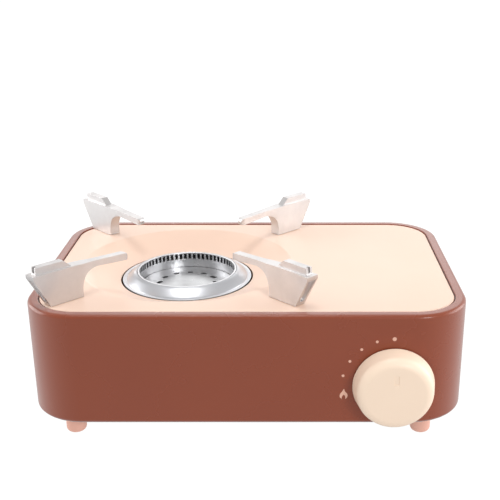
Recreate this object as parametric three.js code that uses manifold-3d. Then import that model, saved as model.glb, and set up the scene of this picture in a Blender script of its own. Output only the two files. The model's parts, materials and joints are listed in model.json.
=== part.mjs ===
// A compact table-top camping stove that burns gas from a cartridge lying inside its body.
// Millimetres, +Z up. The knob faces -Y. The origin is under the middle of the whole stove, on the floor.
import * as THREE from "three";
import { mergeVertices } from "three/addons/utils/BufferGeometryUtils.js";
import Module from "manifold-3d";

const wasm = await Module();
wasm.setup();

// ---- Driving dimensions ----

// Body
const bodyWidth = 323.6;
const bodyDepth = 218;
const bodyHeight = 86.2;
const cornerRadius = 41;
const edgeFillet = 3;
const sheet = 1.5; // thickness of the shell and of the top plate
const clearance = 0.3; // between pieces that touch
const weld = 0.2; // how far faces that grow together overlap
const rimWidth = 7.7; // flat rim round the top plate
const lipDepth = 8; // how far the rim turns down inside
const seatWidth = 14; // seats under the top plate and over the base pan
const seatReach = 9.3;
const seatSpread = 60; // plate seats sit at plus and minus this along Y
const panSeatSpread = 60; // pan seats sit at plus and minus this along X
const panSheet = 1.2;
const panRecess = 3.4; // the pan lies this far above the shell's lower edge
const airSlotLength = 44;
const airSlotWidth = 5;
const airSlotPitch = 12;
const airSlotCount = 5;
const panScrewInset = 8.4; // pan screws in from the walls

// Feet
const footHeight = 19.4; // floor to the shell's lower edge
const footRadius = 7.6;
const footRound = 3.4;
const footInsetX = 30.5;
const footInsetY = 25.5;

// Top plate
const plateGap = 0.9; // open joint between rim and plate
const plateDrop = 0.4; // plate lies this far below the rim
const plateFlange = 5;
const dishedRadius = 86; // where the plate starts to dip towards the burner
const dishedDepth = 12.2;
const dishedSoftness = 0.45; // share of the dip that eases in and out; the rest is a straight slope
const plateHoleRadius = 53.6;

// Burner
const burnerX = -51.8;
const burnerY = 1.3;
const burnerDrop = 6.3; // burner's top below the rim
const ringOuterRadius = 40.3;
const ringWall = 1.5;
const ringHeight = 13.7;
const slotCount = 64;
const slotWidth = 2.2;
const slotHeight = 4.8;
const slotTopLand = 0.9; // metal left over each slot
const dishOuterRadius = 52.7;
const dishSheet = 0.8;
const dishRimWidth = 2.7;
const cupWall = 2;
const cupDepth = 27.7; // burner's top to the cup's underside
const cupOuterRadius = 48;
const cupFlange = 1.3;
const floorHoleShare = 0.6; // ring of holes, as a share of the floor's radius
const airHoleRadius = 20; // hole under the burner floor
const floorSheet = 1;
const floorHoleCount = 12;
const floorHoleRadius = 2.5;
const bracketSheet = 1.2;
const bracketWidth = 30;
const bracketSpan = 60;
const bracketFoot = 12;
const bracketHoleRadius = 12;

// Pot supports, in a side view: distance from the burner's axis, and height above the plate
const supportAngles = { front_right: -45, front_left: -135, back_left: 135, back_right: 45 };
const supportTip = 58.5;
const supportStemIn = 100.8;
const supportStemOut = 128;
const supportReach = 140;
const supportArmTop = 25.5;
const supportTipTop = 23.5;
const supportHeight = 31;
const supportArmThick = 5.6;
const supportCurve = 14; // length of the curve from the arm's underside down to the stem
const supportFlare = 12; // length over which the arm widens to the stem
const ribStart = 107;
const ribRamp = 7;
const ribEnd = 137;
const ribWidth = 5.6;
const armWidth = 6.6;
const stemWidth = 9.4;
const lipWidth = 11;
const scoopWidth = 5.4;
const scoopDepth = 5;

// Gas cartridge that the bay is made for: a standard can lying along Y, nozzle forward
const canRadius = 34;
const canX = 97;
const canLift = 2.5; // can above the base pan

// Knob and valve
const knobX = 106;
const knobDrop = 54.3; // knob's axis below the rim
const knobRadius = 29.6;
const knobFrontRadius = 27.9;
const knobReach = 16.5; // face of the knob to the front panel
const knobFillet = 7;
const knobWall = 2;
const knobFaceWall = 3;
const knobPanelGap = 1;
const knobTurn = 97.5; // degrees from off to full flame
const hubRadius = 6;
const hubFloor = 5.5; // spindle's end behind the knob's face
const clipFront = 8; // clip's ends behind the knob's back
const clipBack = 3;
const clipWire = 0.8;
const clipReach = 0.7; // half of the clip's grip round the hub, in half turns
const spindleRadius = 3;
const panelHoleRadius = 5;
const valveRadius = 8;
const valveLength = 8.9;
const camThick = 5;
const camBase = 8;
const camRise = 5;
const camFrontGap = 3; // between the front panel's inside and the cam
const piezoRadius = 5;
const piezoLength = 30.5;
const plungerLength = 19;
const plungerGap = 0.6; // between the plunger's nose and the cam

// Regulator
const regulatorWidth = 48;
const regulatorThick = 8.7;
const regulatorBelow = 20.5; // block's underside below the can's axis
const regulatorAbove = 21; // block's top above the can's axis
const coverRadius = 12;
const noseLength = 5.5;
const magnetRadius = 14;
const magnetThick = 3.5;
const inletRadius = 7;
const inletLength = 4.3;
const inletBore = 4.8;
const jetLength = 19.7;
const tubeRadius = 8;
const tubeWall = 1.2;
const electrodeInset = 7.8; // electrode's axis inside the ring's wall
const electrodeAngle = -60;
const insulatorRadius = 3;
const insulatorBelow = 12; // insulator's lower end below the cup
const pinRadius = 0.9;
const leadRadius = 1.2;

// Shield
const shieldX = 58;
const shieldSheet = 1;
const shieldFoot = 12;
const shieldFrontGap = 13; // behind the regulator
const shieldBackGap = 15.5; // in front of the back wall

// Cartridge cradle
const cradleFrontGap = 16; // behind the regulator
const cradleLength = 143;
const cradleHalf = 18;
const cradleFoot = 8;
const cradleRise = 6.2;
const cradleGap = 0.4; // round the can

// Screws
const bigScrew = { headRadius: 4, headHeight: 2.5, shankRadius: 2 };
const smallScrew = { headRadius: 3, headHeight: 2, shankRadius: 1.5 };
const panScrewGrip = 6; // screw left beyond the sheet it holds
const bracketScrewGrip = 5;
const supportScrewGrip = 12;
const footScrewGap = 1.5; // round the tip of a foot's screw
const regulatorScrewInsetX = 6;
const regulatorScrewInsetY = 5;

// ---- Levels and places that follow ----
const bodyBottom = footHeight;
const rimTop = bodyBottom + bodyHeight;
const frontY = -bodyDepth / 2;
const plateTop = rimTop - plateDrop;
const plateUnder = plateTop - sheet;
const panUnder = bodyBottom + panRecess;
const panTop = panUnder + panSheet;
const burnerTop = rimTop - burnerDrop;
const dishRimTop = plateTop - dishedDepth + clearance;
const ringInner = ringOuterRadius - ringWall;
const ringBottom = burnerTop - ringHeight;
const cupBottom = burnerTop - cupDepth;
const cupTop = dishRimTop - dishSheet - clearance;
const knobZ = rimTop - knobDrop;
const canZ = panTop + canLift + canRadius;
const camFront = frontY + sheet + camFrontGap;
const valveFront = camFront + camThick + clearance;
const regulatorFront = valveFront + valveLength + clearance;
const regulatorBack = regulatorFront + regulatorThick;
const regulatorLeft = canX - regulatorWidth / 2;
const regulatorBottom = canZ - regulatorBelow;
const onPan = panTop + clearance;
const electrodeRadius = ringInner - electrodeInset;
const shieldFront = regulatorBack + shieldFrontGap;
const shieldBack = bodyDepth / 2 - sheet - shieldBackGap;
const shieldScrewYs = [shieldFront + 28, shieldBack - 52];
const cradleFront = regulatorBack + cradleFrontGap;
const cradleBack = cradleFront + cradleLength;
const cradleScrewYs = [cradleFront + 15, cradleBack - 28];
const cradleScrewX = cradleHalf + cradleFoot / 2;
const shieldScrewX = shieldX - shieldFoot / 2;

// ---- Materials ----
function paint(colour, roughness, metalness) {
  return new THREE.MeshStandardMaterial({ color: colour, roughness, metalness });
}
const brownPaint = paint(0x8f5244, 0.45, 0.1);
const creamPaint = paint(0xfbe8d6, 0.4, 0.0);
const creamPlastic = paint(0xf8e0ca, 0.45, 0.0);
const peachRubber = paint(0xebb8a6, 0.7, 0.0);
const castAluminium = paint(0xc9c4c1, 0.35, 0.9);
const brightSteel = paint(0xc8ccd4, 0.2, 1.0);
const zincSteel = paint(0xa9adb0, 0.4, 0.9);
const brass = paint(0xb8964e, 0.35, 1.0);
const blackRubber = paint(0x222222, 0.8, 0.0);
const blackPlastic = paint(0x2a2a2c, 0.5, 0.0);
const ceramic = paint(0xf2f0ea, 0.3, 0.0);
const magnetic = paint(0x4a4a4d, 0.5, 0.6);

// ---- Solids from three.js geometry ----

// The closed solid of a geometry, with its faces turned outwards.
function solid(geometry) {
  const bare = geometry.clone();
  bare.deleteAttribute("normal");
  bare.deleteAttribute("uv");
  const merged = mergeVertices(bare, 1e-4);
  const vertProperties = merged.attributes.position.array;
  const triVerts = new Uint32Array(merged.index.array);
  const made = new wasm.Manifold(new wasm.Mesh({ numProp: 3, vertProperties, triVerts }));
  if (made.volume() > 0) return made;
  return new wasm.Manifold(
    new wasm.Mesh({ numProp: 3, vertProperties, triVerts: triVerts.reverse() }),
  );
}

function geometryOf(made) {
  const mesh = made.getMesh();
  const geometry = new THREE.BufferGeometry();
  geometry.setAttribute("position", new THREE.BufferAttribute(mesh.vertProperties, 3));
  geometry.setIndex(new THREE.BufferAttribute(mesh.triVerts, 1));
  geometry.computeVertexNormals();
  return geometry;
}

function union(solids) {
  return solids.reduce((all, one) => all.add(one));
}

function block(x0, x1, y0, y1, z0, z1) {
  const geometry = new THREE.BoxGeometry(x1 - x0, y1 - y0, z1 - z0);
  return solid(geometry.translate((x0 + x1) / 2, (y0 + y1) / 2, (z0 + z1) / 2));
}

// A flat shape given height along Z.
function upright(shape, z0, z1, curveSegments = 4) {
  const options = { depth: z1 - z0, bevelEnabled: false, curveSegments };
  return solid(new THREE.ExtrudeGeometry(shape, options).translate(0, 0, z0));
}

// A shape drawn in X and Z, given depth along Y.
function sideways(shape, y0, y1, curveSegments = 5) {
  const options = { depth: y1 - y0, bevelEnabled: false, curveSegments };
  const geometry = new THREE.ExtrudeGeometry(shape, options);
  return solid(geometry.rotateX(Math.PI / 2).translate(0, y1, 0));
}

// A closed profile of [radius, height] points turned round a vertical axis.
function turned(profile, segments, x = 0, y = 0) {
  const points = profile.map(([radius, height]) => new THREE.Vector2(radius, height));
  const geometry = new THREE.LatheGeometry(points, segments);
  return solid(geometry.rotateX(Math.PI / 2).translate(x, y, 0));
}

// A closed profile of [radius, y] points turned round an axis along Y.
function turnedForward(profile, segments, x, z) {
  const points = profile.map(([radius, y]) => new THREE.Vector2(radius, y));
  return solid(new THREE.LatheGeometry(points, segments).translate(x, 0, z));
}

// A closed profile of [radius, x] points turned round an axis along X.
function turnedAcross(profile, segments, y, z) {
  const points = profile.map(([radius, x]) => new THREE.Vector2(radius, x));
  const geometry = new THREE.LatheGeometry(points, segments);
  return solid(geometry.rotateZ(-Math.PI / 2).translate(0, y, z));
}

function closed(profile) {
  return [...profile, profile[0]];
}

function post(radius, x, y, z0, z1, segments = 12) {
  return turned([[0, z0], [radius, z0], [radius, z1], [0, z1]], segments, x, y);
}

function tube(path, steps, radius, sides, bore = 0) {
  const section = new THREE.Shape().absarc(0, 0, radius, 0, 2 * Math.PI, false);
  if (bore) section.holes.push(new THREE.Path().absarc(0, 0, bore, 0, 2 * Math.PI, true));
  const options = { steps, extrudePath: path, curveSegments: sides / 2 };
  return solid(new THREE.ExtrudeGeometry(section, options));
}

// The body's outline, drawn in by an inset on every side.
function outline(inset) {
  const x = bodyWidth / 2 - inset;
  const y = bodyDepth / 2 - inset;
  const r = cornerRadius - inset;
  const shape = new THREE.Shape();
  shape.absarc(x - r, y - r, r, 0, Math.PI / 2, false);
  shape.absarc(r - x, y - r, r, Math.PI / 2, Math.PI, false);
  shape.absarc(r - x, r - y, r, Math.PI, 1.5 * Math.PI, false);
  shape.absarc(x - r, r - y, r, 1.5 * Math.PI, 2 * Math.PI, false);
  shape.closePath();
  return shape;
}

const stove = new THREE.Group();
const body = new THREE.Group();
// The knob stands out in front, so the body lies back by half of that to centre the whole.
body.position.y = knobReach / 2;
stove.add(body);

function add(name, made, material, x = 0, y = 0, z = 0, turn = 0) {
  const mesh = new THREE.Mesh(geometryOf(made), material);
  mesh.name = name;
  mesh.position.set(x, y, z);
  mesh.rotation.z = turn;
  body.add(mesh);
}

// A hexagon-head screw whose head stands on z = 0, its shank going down.
function screw(size, length) {
  const head = post(size.headRadius, 0, 0, 0, size.headHeight, 6);
  return head.add(post(size.shankRadius, 0, 0, -length, size.headHeight / 2, 8));
}

function turnedOver(made) {
  return solid(geometryOf(made).rotateX(Math.PI));
}

const corners = [
  ["front_left", -1, -1],
  ["front_right", 1, -1],
  ["back_left", -1, 1],
  ["back_right", 1, 1],
];

// ---- Body shell: wall, rim, turned-down lip and the seats inside ----
function bodyShell() {
  const options = {
    depth: bodyHeight - 2 * edgeFillet,
    bevelThickness: edgeFillet,
    bevelSize: edgeFillet,
    bevelSegments: 3,
    curveSegments: 4,
  };
  const outside = new THREE.ExtrudeGeometry(outline(edgeFillet), options);
  outside.translate(0, 0, bodyBottom + edgeFillet);
  const lipLow = rimTop - lipDepth;
  const seatUnder = lipLow - sheet;
  const lip = upright(outline(rimWidth - sheet), lipLow, rimTop - sheet / 2).subtract(
    upright(outline(rimWidth), lipLow - 1, rimTop + 1),
  );
  let shell = solid(outside)
    .subtract(upright(outline(sheet), bodyBottom - 1, rimTop - sheet))
    .subtract(upright(outline(rimWidth), rimTop - 2 * sheet, rimTop + 1))
    .add(lip);
  const lipX = bodyWidth / 2 - rimWidth;
  const half = seatWidth / 2;
  for (const sideX of [-1, 1]) {
    const near = sideX * (lipX + sheet);
    const far = sideX * (lipX - seatReach);
    const [x0, x1] = [Math.min(near, far), Math.max(near, far)];
    for (const y of [-seatSpread, seatSpread]) {
      shell = shell.add(block(x0, x1, y - half, y + half, seatUnder, lipLow + weld));
    }
  }
  const wallY = bodyDepth / 2 - sheet / 2;
  for (const x of [-panSeatSpread, panSeatSpread]) {
    for (const sideY of [-1, 1]) {
      const near = sideY * wallY;
      const far = sideY * (wallY - seatWidth);
      const seat = block(
        x - half,
        x + half,
        Math.min(near, far),
        Math.max(near, far),
        onPan,
        onPan + sheet,
      );
      const hole = smallScrew.shankRadius + clearance;
      const drilled = seat.subtract(post(hole, x, sideY * panScrewY, 0, rimTop, 8));
      shell = shell.add(drilled);
    }
  }
  const spindleHole = turnedForward(
    [[0, frontY - 1], [panelHoleRadius, frontY - 1], [panelHoleRadius, frontY + 5], [0, frontY + 5]],
    20,
    knobX,
    knobZ,
  );
  return shell.subtract(spindleHole);
}

// ---- Base pan: a flat floor with a turned-down edge, air slots and screw holes ----
const panScrewY = bodyDepth / 2 - sheet - panScrewInset;
const footX = bodyWidth / 2 - footInsetX;
const footY = bodyDepth / 2 - footInsetY;
const bracketScrewX = bracketSpan / 2 + bracketFoot / 2;
const regulatorScrewX = regulatorWidth / 2 - regulatorScrewInsetX;
const regulatorScrewY = regulatorFront - regulatorScrewInsetY;

const panScrews = [
  ...corners.map(([, sx, sy]) => [sx * panSeatSpread, sy * panScrewY, smallScrew]),
  ...corners.map(([, sx, sy]) => [sx * footX, sy * footY, bigScrew]),
  [burnerX - bracketScrewX, burnerY, smallScrew],
  [burnerX + bracketScrewX, burnerY, smallScrew],
  [canX - regulatorScrewX, regulatorScrewY, smallScrew],
  [canX + regulatorScrewX, regulatorScrewY, smallScrew],
  [canX + cradleScrewX, cradleScrewYs[0], smallScrew],
  [canX - cradleScrewX, cradleScrewYs[1], smallScrew],
  [shieldScrewX, shieldScrewYs[0], smallScrew],
  [shieldScrewX, shieldScrewYs[1], smallScrew],
];

function basePan() {
  const inset = sheet + clearance;
  let pan = upright(outline(inset), bodyBottom + clearance, panTop).subtract(
    upright(outline(inset + panSheet), 0, panUnder),
  );
  for (const side of [-1, 1]) {
    for (let i = 0; i < airSlotCount; i += 1) {
      const x = burnerX + (i - (airSlotCount - 1) / 2) * airSlotPitch;
      const y = burnerY + side * (bracketWidth / 2 + 8 + airSlotLength / 2);
      pan = pan.subtract(
        block(
          x - airSlotWidth / 2,
          x + airSlotWidth / 2,
          y - airSlotLength / 2,
          y + airSlotLength / 2,
          0,
          rimTop,
        ),
      );
    }
  }
  for (const [x, y, size] of panScrews) {
    pan = pan.subtract(post(size.shankRadius + clearance, x, y, 0, rimTop, 8));
  }
  return pan;
}

add("body_shell", bodyShell(), brownPaint);
add("base_pan", basePan(), zincSteel);

// ---- Feet and the screws that hold them and the pan ----
function foot() {
  const top = panUnder - clearance;
  const bore = bigScrew.shankRadius + clearance;
  const boreBottom = top / 2;
  const round = [];
  for (let i = 0; i <= 4; i += 1) {
    const angle = ((i / 4) * Math.PI) / 2;
    const radius = footRadius - footRound + footRound * Math.sin(angle);
    round.push([radius, footRound - footRound * Math.cos(angle)]);
  }
  return turned(
    [[0, 0], ...round, [footRadius, top], [bore, top], [bore, boreBottom], [0, boreBottom]],
    16,
  );
}

const footLength = panUnder - clearance;
const footScrewLength = onPan - footLength / 2 - footScrewGap;
corners.forEach(([corner, sx, sy]) => {
  add(`foot_${corner}`, foot(), peachRubber, sx * footX, sy * footY);
  add(`foot_screw_${corner}`, screw(bigScrew, footScrewLength), zincSteel, sx * footX, sy * footY, onPan);
  const panScrew = turnedOver(screw(smallScrew, panSheet + panScrewGrip));
  const y = sy * panScrewY;
  add(`pan_screw_${corner}`, panScrew, zincSteel, sx * panSeatSpread, y, panUnder - clearance);
});

// ---- Top plate: flat, turned down at its edge, dished round the burner ----
const supportMid = (supportStemIn + supportStemOut) / 2;

function dishedLine(steps) {
  const line = [];
  for (let i = 0; i <= steps; i += 1) {
    const t = i / steps;
    const radius = dishedRadius + (plateHoleRadius - dishedRadius) * t;
    const fall = t * t * (3 - 2 * t) * dishedSoftness + t * (1 - dishedSoftness);
    line.push([radius, plateTop - dishedDepth * fall]);
  }
  return line;
}

function topPlate() {
  const plateSides = 56;
  const inset = rimWidth + plateGap;
  const overlap = 1;
  const flat = upright(outline(inset), plateUnder, plateTop).subtract(
    post(dishedRadius, burnerX, burnerY, 0, rimTop + 1, plateSides),
  );
  const edge = upright(outline(inset), plateUnder - plateFlange, plateUnder + weld).subtract(
    upright(outline(inset + sheet), 0, rimTop),
  );
  const top = dishedLine(6);
  const under = top.map(([radius, z]) => [radius, z - sheet]).reverse();
  const rim = dishedRadius + overlap;
  const dished = turned(
    closed([[rim, plateTop], ...top, ...under, [rim, plateUnder]]),
    plateSides,
    burnerX,
    burnerY,
  );
  let plate = flat.add(edge).add(dished);
  for (const angle of Object.values(supportAngles)) {
    const at = THREE.MathUtils.degToRad(angle);
    const x = burnerX + supportMid * Math.cos(at);
    const y = burnerY + supportMid * Math.sin(at);
    plate = plate.subtract(post(bigScrew.shankRadius + clearance, x, y, 0, rimTop + 1, 8));
  }
  return plate;
}
add("top_plate", topPlate(), creamPaint);

const padOut = bodyWidth / 2 - rimWidth - plateGap - sheet - clearance;
const padWide = 6;
const padHigh = plateUnder - clearance - (rimTop - lipDepth + weld + clearance);
corners.forEach(([corner, sx, sy]) => {
  const pad = block(-padWide / 2, padWide / 2, -seatWidth / 2 + 1, seatWidth / 2 - 1, 0, padHigh);
  const x = sx * (padOut - padWide / 2);
  add(`plate_pad_${corner}`, pad, blackRubber, x, sy * seatSpread, plateUnder - clearance - padHigh);
});

// ---- Pot supports, drawn along +X from the burner's axis, standing on the plate ----
function potSupport() {
  const tipRound = 2.5;
  const side = new THREE.Shape();
  side.moveTo(supportStemIn, 0);
  side.lineTo(supportStemOut, 0);
  side.lineTo(supportReach, supportArmTop - 3);
  side.lineTo(supportReach, supportArmTop);
  side.lineTo(ribStart, supportArmTop);
  side.lineTo(supportTip + tipRound, supportTipTop);
  side.lineTo(supportTip, supportTipTop - tipRound);
  side.lineTo(supportTip + 1, supportTipTop - supportArmThick);
  side.lineTo(supportStemIn - supportCurve, supportArmTop - supportArmThick);
  side.quadraticCurveTo(supportStemIn, supportArmTop - supportArmThick, supportStemIn, 5);
  const plan = new THREE.Shape();
  plan.moveTo(supportTip, -armWidth / 2);
  plan.lineTo(supportStemIn - supportFlare, -armWidth / 2);
  plan.lineTo(supportStemIn, -stemWidth / 2);
  plan.lineTo(supportStemOut, -stemWidth / 2);
  plan.lineTo(supportReach, -lipWidth / 2);
  plan.lineTo(supportReach, lipWidth / 2);
  plan.lineTo(supportStemOut, stemWidth / 2);
  plan.lineTo(supportStemIn, stemWidth / 2);
  plan.lineTo(supportStemIn - supportFlare, armWidth / 2);
  plan.lineTo(supportTip, armWidth / 2);
  const rib = new THREE.Shape();
  rib.moveTo(ribStart, supportArmTop - 1);
  rib.lineTo(ribEnd, supportArmTop - 1);
  rib.lineTo(ribEnd - 1, supportHeight);
  rib.lineTo(ribStart + ribRamp, supportHeight);
  const scoop = new THREE.Shape();
  scoop.moveTo(supportReach + 1, supportArmTop - 4);
  scoop.lineTo(supportReach - scoopDepth / 2, supportArmTop - 4);
  scoop.lineTo(supportStemOut - scoopDepth, 3);
  scoop.lineTo(supportStemOut + 3, 3);
  const screwHole = bigScrew.shankRadius + clearance;
  return sideways(side, -lipWidth, lipWidth)
    .intersect(upright(plan, -1, supportHeight))
    .add(sideways(rib, -ribWidth / 2, ribWidth / 2))
    .subtract(sideways(scoop, -scoopWidth / 2, scoopWidth / 2))
    .subtract(post(screwHole, supportMid, 0, -1, 13, 8));
}

const supportZ = plateTop + clearance;
for (const [corner, angle] of Object.entries(supportAngles)) {
  const turn = THREE.MathUtils.degToRad(angle);
  add(`pot_support_${corner}`, potSupport(), castAluminium, burnerX, burnerY, supportZ, turn);
  const supportScrew = turnedOver(screw(bigScrew, sheet + supportScrewGrip));
  const x = burnerX + supportMid * Math.cos(turn);
  const y = burnerY + supportMid * Math.sin(turn);
  add(`support_screw_${corner}`, supportScrew, zincSteel, x, y, plateUnder - clearance);
}

// ---- Burner: bright dish, slotted ring, cup under them, floor inside, bracket ----
function burnerDish() {
  const lip = ringOuterRadius + clearance;
  const rimIn = dishOuterRadius - dishRimWidth;
  return turned(
    closed([
      [dishOuterRadius, dishRimTop - dishSheet],
      [dishOuterRadius, dishRimTop],
      [rimIn, dishRimTop],
      [rimIn - 0.7, dishRimTop + 0.5],
      [lip + 0.8, burnerTop - 0.2],
      [lip, burnerTop],
      [lip, burnerTop - dishSheet],
      [rimIn - 0.5, dishRimTop - dishSheet],
    ]),
    48,
    burnerX,
    burnerY,
  );
}
add("burner_dish", burnerDish(), brightSteel);

function burnerRing() {
  let ring = turned(
    closed([
      [ringInner, ringBottom],
      [ringOuterRadius, ringBottom],
      [ringOuterRadius, burnerTop],
      [ringInner, burnerTop],
    ]),
    slotCount,
    burnerX,
    burnerY,
  );
  const slots = [];
  for (let i = 0; i < slotCount; i += 1) {
    const box = new THREE.BoxGeometry(4 * ringWall, slotWidth, slotHeight);
    box.translate(ringInner + ringWall / 2, 0, burnerTop - slotTopLand - slotHeight / 2);
    box.rotateZ(((i + 0.5) * 2 * Math.PI) / slotCount);
    box.translate(burnerX, burnerY, 0);
    slots.push(solid(box));
  }
  ring = ring.subtract(union(slots));
  return ring;
}
add("burner_ring", burnerRing(), castAluminium);

const insulatorX = burnerX + electrodeRadius * Math.cos(THREE.MathUtils.degToRad(electrodeAngle));
const insulatorY = burnerY + electrodeRadius * Math.sin(THREE.MathUtils.degToRad(electrodeAngle));
const mouthX = regulatorLeft - clearance - jetLength - 2;
const jetY = (regulatorFront + regulatorBack) / 2;
const jetZ = knobZ;
const tubeEndZ = cupBottom + cupWall + tubeRadius - 0.5;
const tubeEndAngle = THREE.MathUtils.degToRad(-50);
const tubeEndX = burnerX + (cupOuterRadius - cupWall) * Math.cos(tubeEndAngle);
const tubeEndY = burnerY + (cupOuterRadius - cupWall) * Math.sin(tubeEndAngle);
const tubePath = new THREE.CatmullRomCurve3([
  new THREE.Vector3(mouthX, jetY, jetZ),
  new THREE.Vector3(mouthX - 30, jetY, jetZ),
  new THREE.Vector3(tubeEndX + 30, jetY + 12, jetZ + 6),
  new THREE.Vector3(tubeEndX + 11, tubeEndY - 13, tubeEndZ - 4),
  new THREE.Vector3(tubeEndX, tubeEndY, tubeEndZ),
]);

function burnerCup() {
  const wallIn = cupOuterRadius - cupWall;
  const inside = ringInner - weld;
  const inWallTop = ringBottom - clearance;
  const flangeOut = dishOuterRadius - 0.7;
  const cup = turned(
    closed([
      [airHoleRadius, cupBottom],
      [cupOuterRadius, cupBottom],
      [cupOuterRadius, cupTop - cupFlange],
      [flangeOut, cupTop - cupFlange],
      [flangeOut, cupTop],
      [wallIn, cupTop],
      [wallIn, cupBottom + cupWall],
      [ringOuterRadius, cupBottom + cupWall],
      [ringOuterRadius, inWallTop],
      [inside, inWallTop],
      [inside, cupBottom + cupWall],
      [airHoleRadius, cupBottom + cupWall],
    ]),
    48,
    burnerX,
    burnerY,
  );
  const tubeWay = tube(tubePath, 16, tubeRadius + clearance, 12);
  const insulatorWay = post(insulatorRadius + clearance, insulatorX, insulatorY, 0, rimTop, 12);
  return cup.subtract(tubeWay).subtract(insulatorWay);
}
add("burner_cup", burnerCup(), castAluminium);

function burnerFloor() {
  const radius = ringInner - clearance - weld;
  const under = ringBottom;
  const crown = 2;
  let plate = turned(
    [
      [0, under + crown],
      [radius * 0.4, under + crown],
      [radius * 0.75, under],
      [radius, under],
      [radius, under + floorSheet],
      [radius * 0.75, under + floorSheet],
      [radius * 0.4, under + crown + floorSheet],
      [0, under + crown + floorSheet],
    ],
    48,
    burnerX,
    burnerY,
  );
  const ringOfHoles = radius * floorHoleShare;
  for (let i = 0; i < floorHoleCount; i += 1) {
    const at = (i * 2 * Math.PI) / floorHoleCount;
    const x = burnerX + ringOfHoles * Math.cos(at);
    const y = burnerY + ringOfHoles * Math.sin(at);
    plate = plate.subtract(post(floorHoleRadius, x, y, 0, rimTop, 8));
  }
  return plate.subtract(post(insulatorRadius + clearance, insulatorX, insulatorY, 0, rimTop, 12));
}
add("burner_floor", burnerFloor(), brightSteel);

function burnerBracket() {
  const top = cupBottom - clearance;
  const under = top - bracketSheet;
  const half = bracketSpan / 2;
  const inner = half - bracketSheet;
  const foot = half + bracketFoot;
  const hat = new THREE.Shape();
  hat.moveTo(-foot, onPan);
  hat.lineTo(-inner, onPan);
  hat.lineTo(-inner, under);
  hat.lineTo(inner, under);
  hat.lineTo(inner, onPan);
  hat.lineTo(foot, onPan);
  hat.lineTo(foot, onPan + bracketSheet);
  hat.lineTo(half, onPan + bracketSheet);
  hat.lineTo(half, top);
  hat.lineTo(-half, top);
  hat.lineTo(-half, onPan + bracketSheet);
  hat.lineTo(-foot, onPan + bracketSheet);
  const hole = smallScrew.shankRadius + clearance;
  return sideways(hat, -bracketWidth / 2, bracketWidth / 2)
    .subtract(post(hole, -bracketScrewX, 0, 0, rimTop, 8))
    .subtract(post(hole, bracketScrewX, 0, 0, rimTop, 8))
    .subtract(post(bracketHoleRadius, 0, 0, 0, rimTop, 24));
}
add("burner_bracket", burnerBracket(), zincSteel, burnerX, burnerY);
["left", "right"].forEach((side, i) => {
  const x = burnerX + (i === 0 ? -bracketScrewX : bracketScrewX);
  const z = onPan + bracketSheet + clearance;
  add(`bracket_screw_${side}`, screw(smallScrew, bracketSheet + bracketScrewGrip), zincSteel, x, burnerY, z);
});

add("mixing_tube", tube(tubePath, 18, tubeRadius, 14, tubeRadius - tubeWall), zincSteel);

// ---- Gas train: jet, regulator, diaphragm cover, magnetic inlet, valve ----
function gasJet() {
  const root = regulatorLeft - clearance;
  const tip = root - jetLength;
  return turnedAcross(
    [[0, root], [4.5, root], [4.5, root - 6], [3, root - 7], [2, tip + 2], [1.4, tip], [0, tip]],
    12,
    jetY,
    jetZ,
  );
}
add("gas_jet", gasJet(), brass);

const shelfTop = knobZ - piezoRadius - clearance;

function regulatorBody() {
  const right = canX + regulatorWidth / 2;
  const topZ = canZ + regulatorAbove;
  const footTop = onPan + 3;
  const shelfRight = knobX - camBase - camRise - 2.5;
  const bossFace = regulatorBack + inletLength;
  const solids = [
    block(regulatorLeft, right, regulatorFront, regulatorBack, regulatorBottom, topZ),
    block(canX - 12, canX + 12, regulatorFront, regulatorBack - 3, onPan, regulatorBottom + 1),
    block(regulatorLeft, right, regulatorFront - 10, regulatorFront + 1, onPan, footTop),
    block(mouthX + 4, shelfRight, frontY + sheet + 1, regulatorBack - 3, shelfTop - 3, shelfTop),
  ];
  const boss = turnedForward(
    closed([
      [inletBore, regulatorBack + 0.5],
      [inletRadius, regulatorBack - 0.5],
      [inletRadius, bossFace],
      [inletBore, bossFace],
    ]),
    20,
    canX,
    canZ,
  );
  const pinHole = turnedForward(
    [[0, regulatorBack - 4], [1.8, regulatorBack - 4], [1.8, regulatorBack + 1], [0, regulatorBack + 1]],
    10,
    canX,
    canZ + magnetRadius + 3,
  );
  const hole = smallScrew.shankRadius + clearance;
  return union(solids)
    .add(boss)
    .subtract(pinHole)
    .subtract(post(hole, canX - regulatorScrewX, regulatorScrewY, 0, rimTop, 8))
    .subtract(post(hole, canX + regulatorScrewX, regulatorScrewY, 0, rimTop, 8));
}
add("regulator_body", regulatorBody(), castAluminium);
["left", "right"].forEach((side, i) => {
  const x = canX + (i === 0 ? -regulatorScrewX : regulatorScrewX);
  const z = onPan + 3 + clearance;
  add(`regulator_screw_${side}`, screw(smallScrew, 8), zincSteel, x, regulatorScrewY, z);
});

function diaphragmCover() {
  const back = regulatorFront - clearance;
  return turnedForward(
    [
      [0, back],
      [coverRadius, back],
      [coverRadius, back - 2.5],
      [coverRadius - 3, back - 3.5],
      [coverRadius - 5, back - 7],
      [0, back - 7],
    ],
    24,
    canX - coverRadius,
    canZ + coverRadius - 4,
  );
}
add("diaphragm_cover", diaphragmCover(), zincSteel);

function faceRing(outer, inner, back, thick, segments) {
  return turnedForward(
    closed([[inner, back], [outer, back], [outer, back + thick], [inner, back + thick]]),
    segments,
    canX,
    canZ,
  );
}
const magnetBack = regulatorBack + clearance;
add("magnet_ring", faceRing(magnetRadius, inletRadius + clearance, magnetBack, magnetThick, 24), magnetic);
const sealBack = regulatorBack + clearance;
add("inlet_seal", faceRing(inletBore - clearance, 2, sealBack, inletLength - 0.8, 16), blackRubber);

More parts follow.
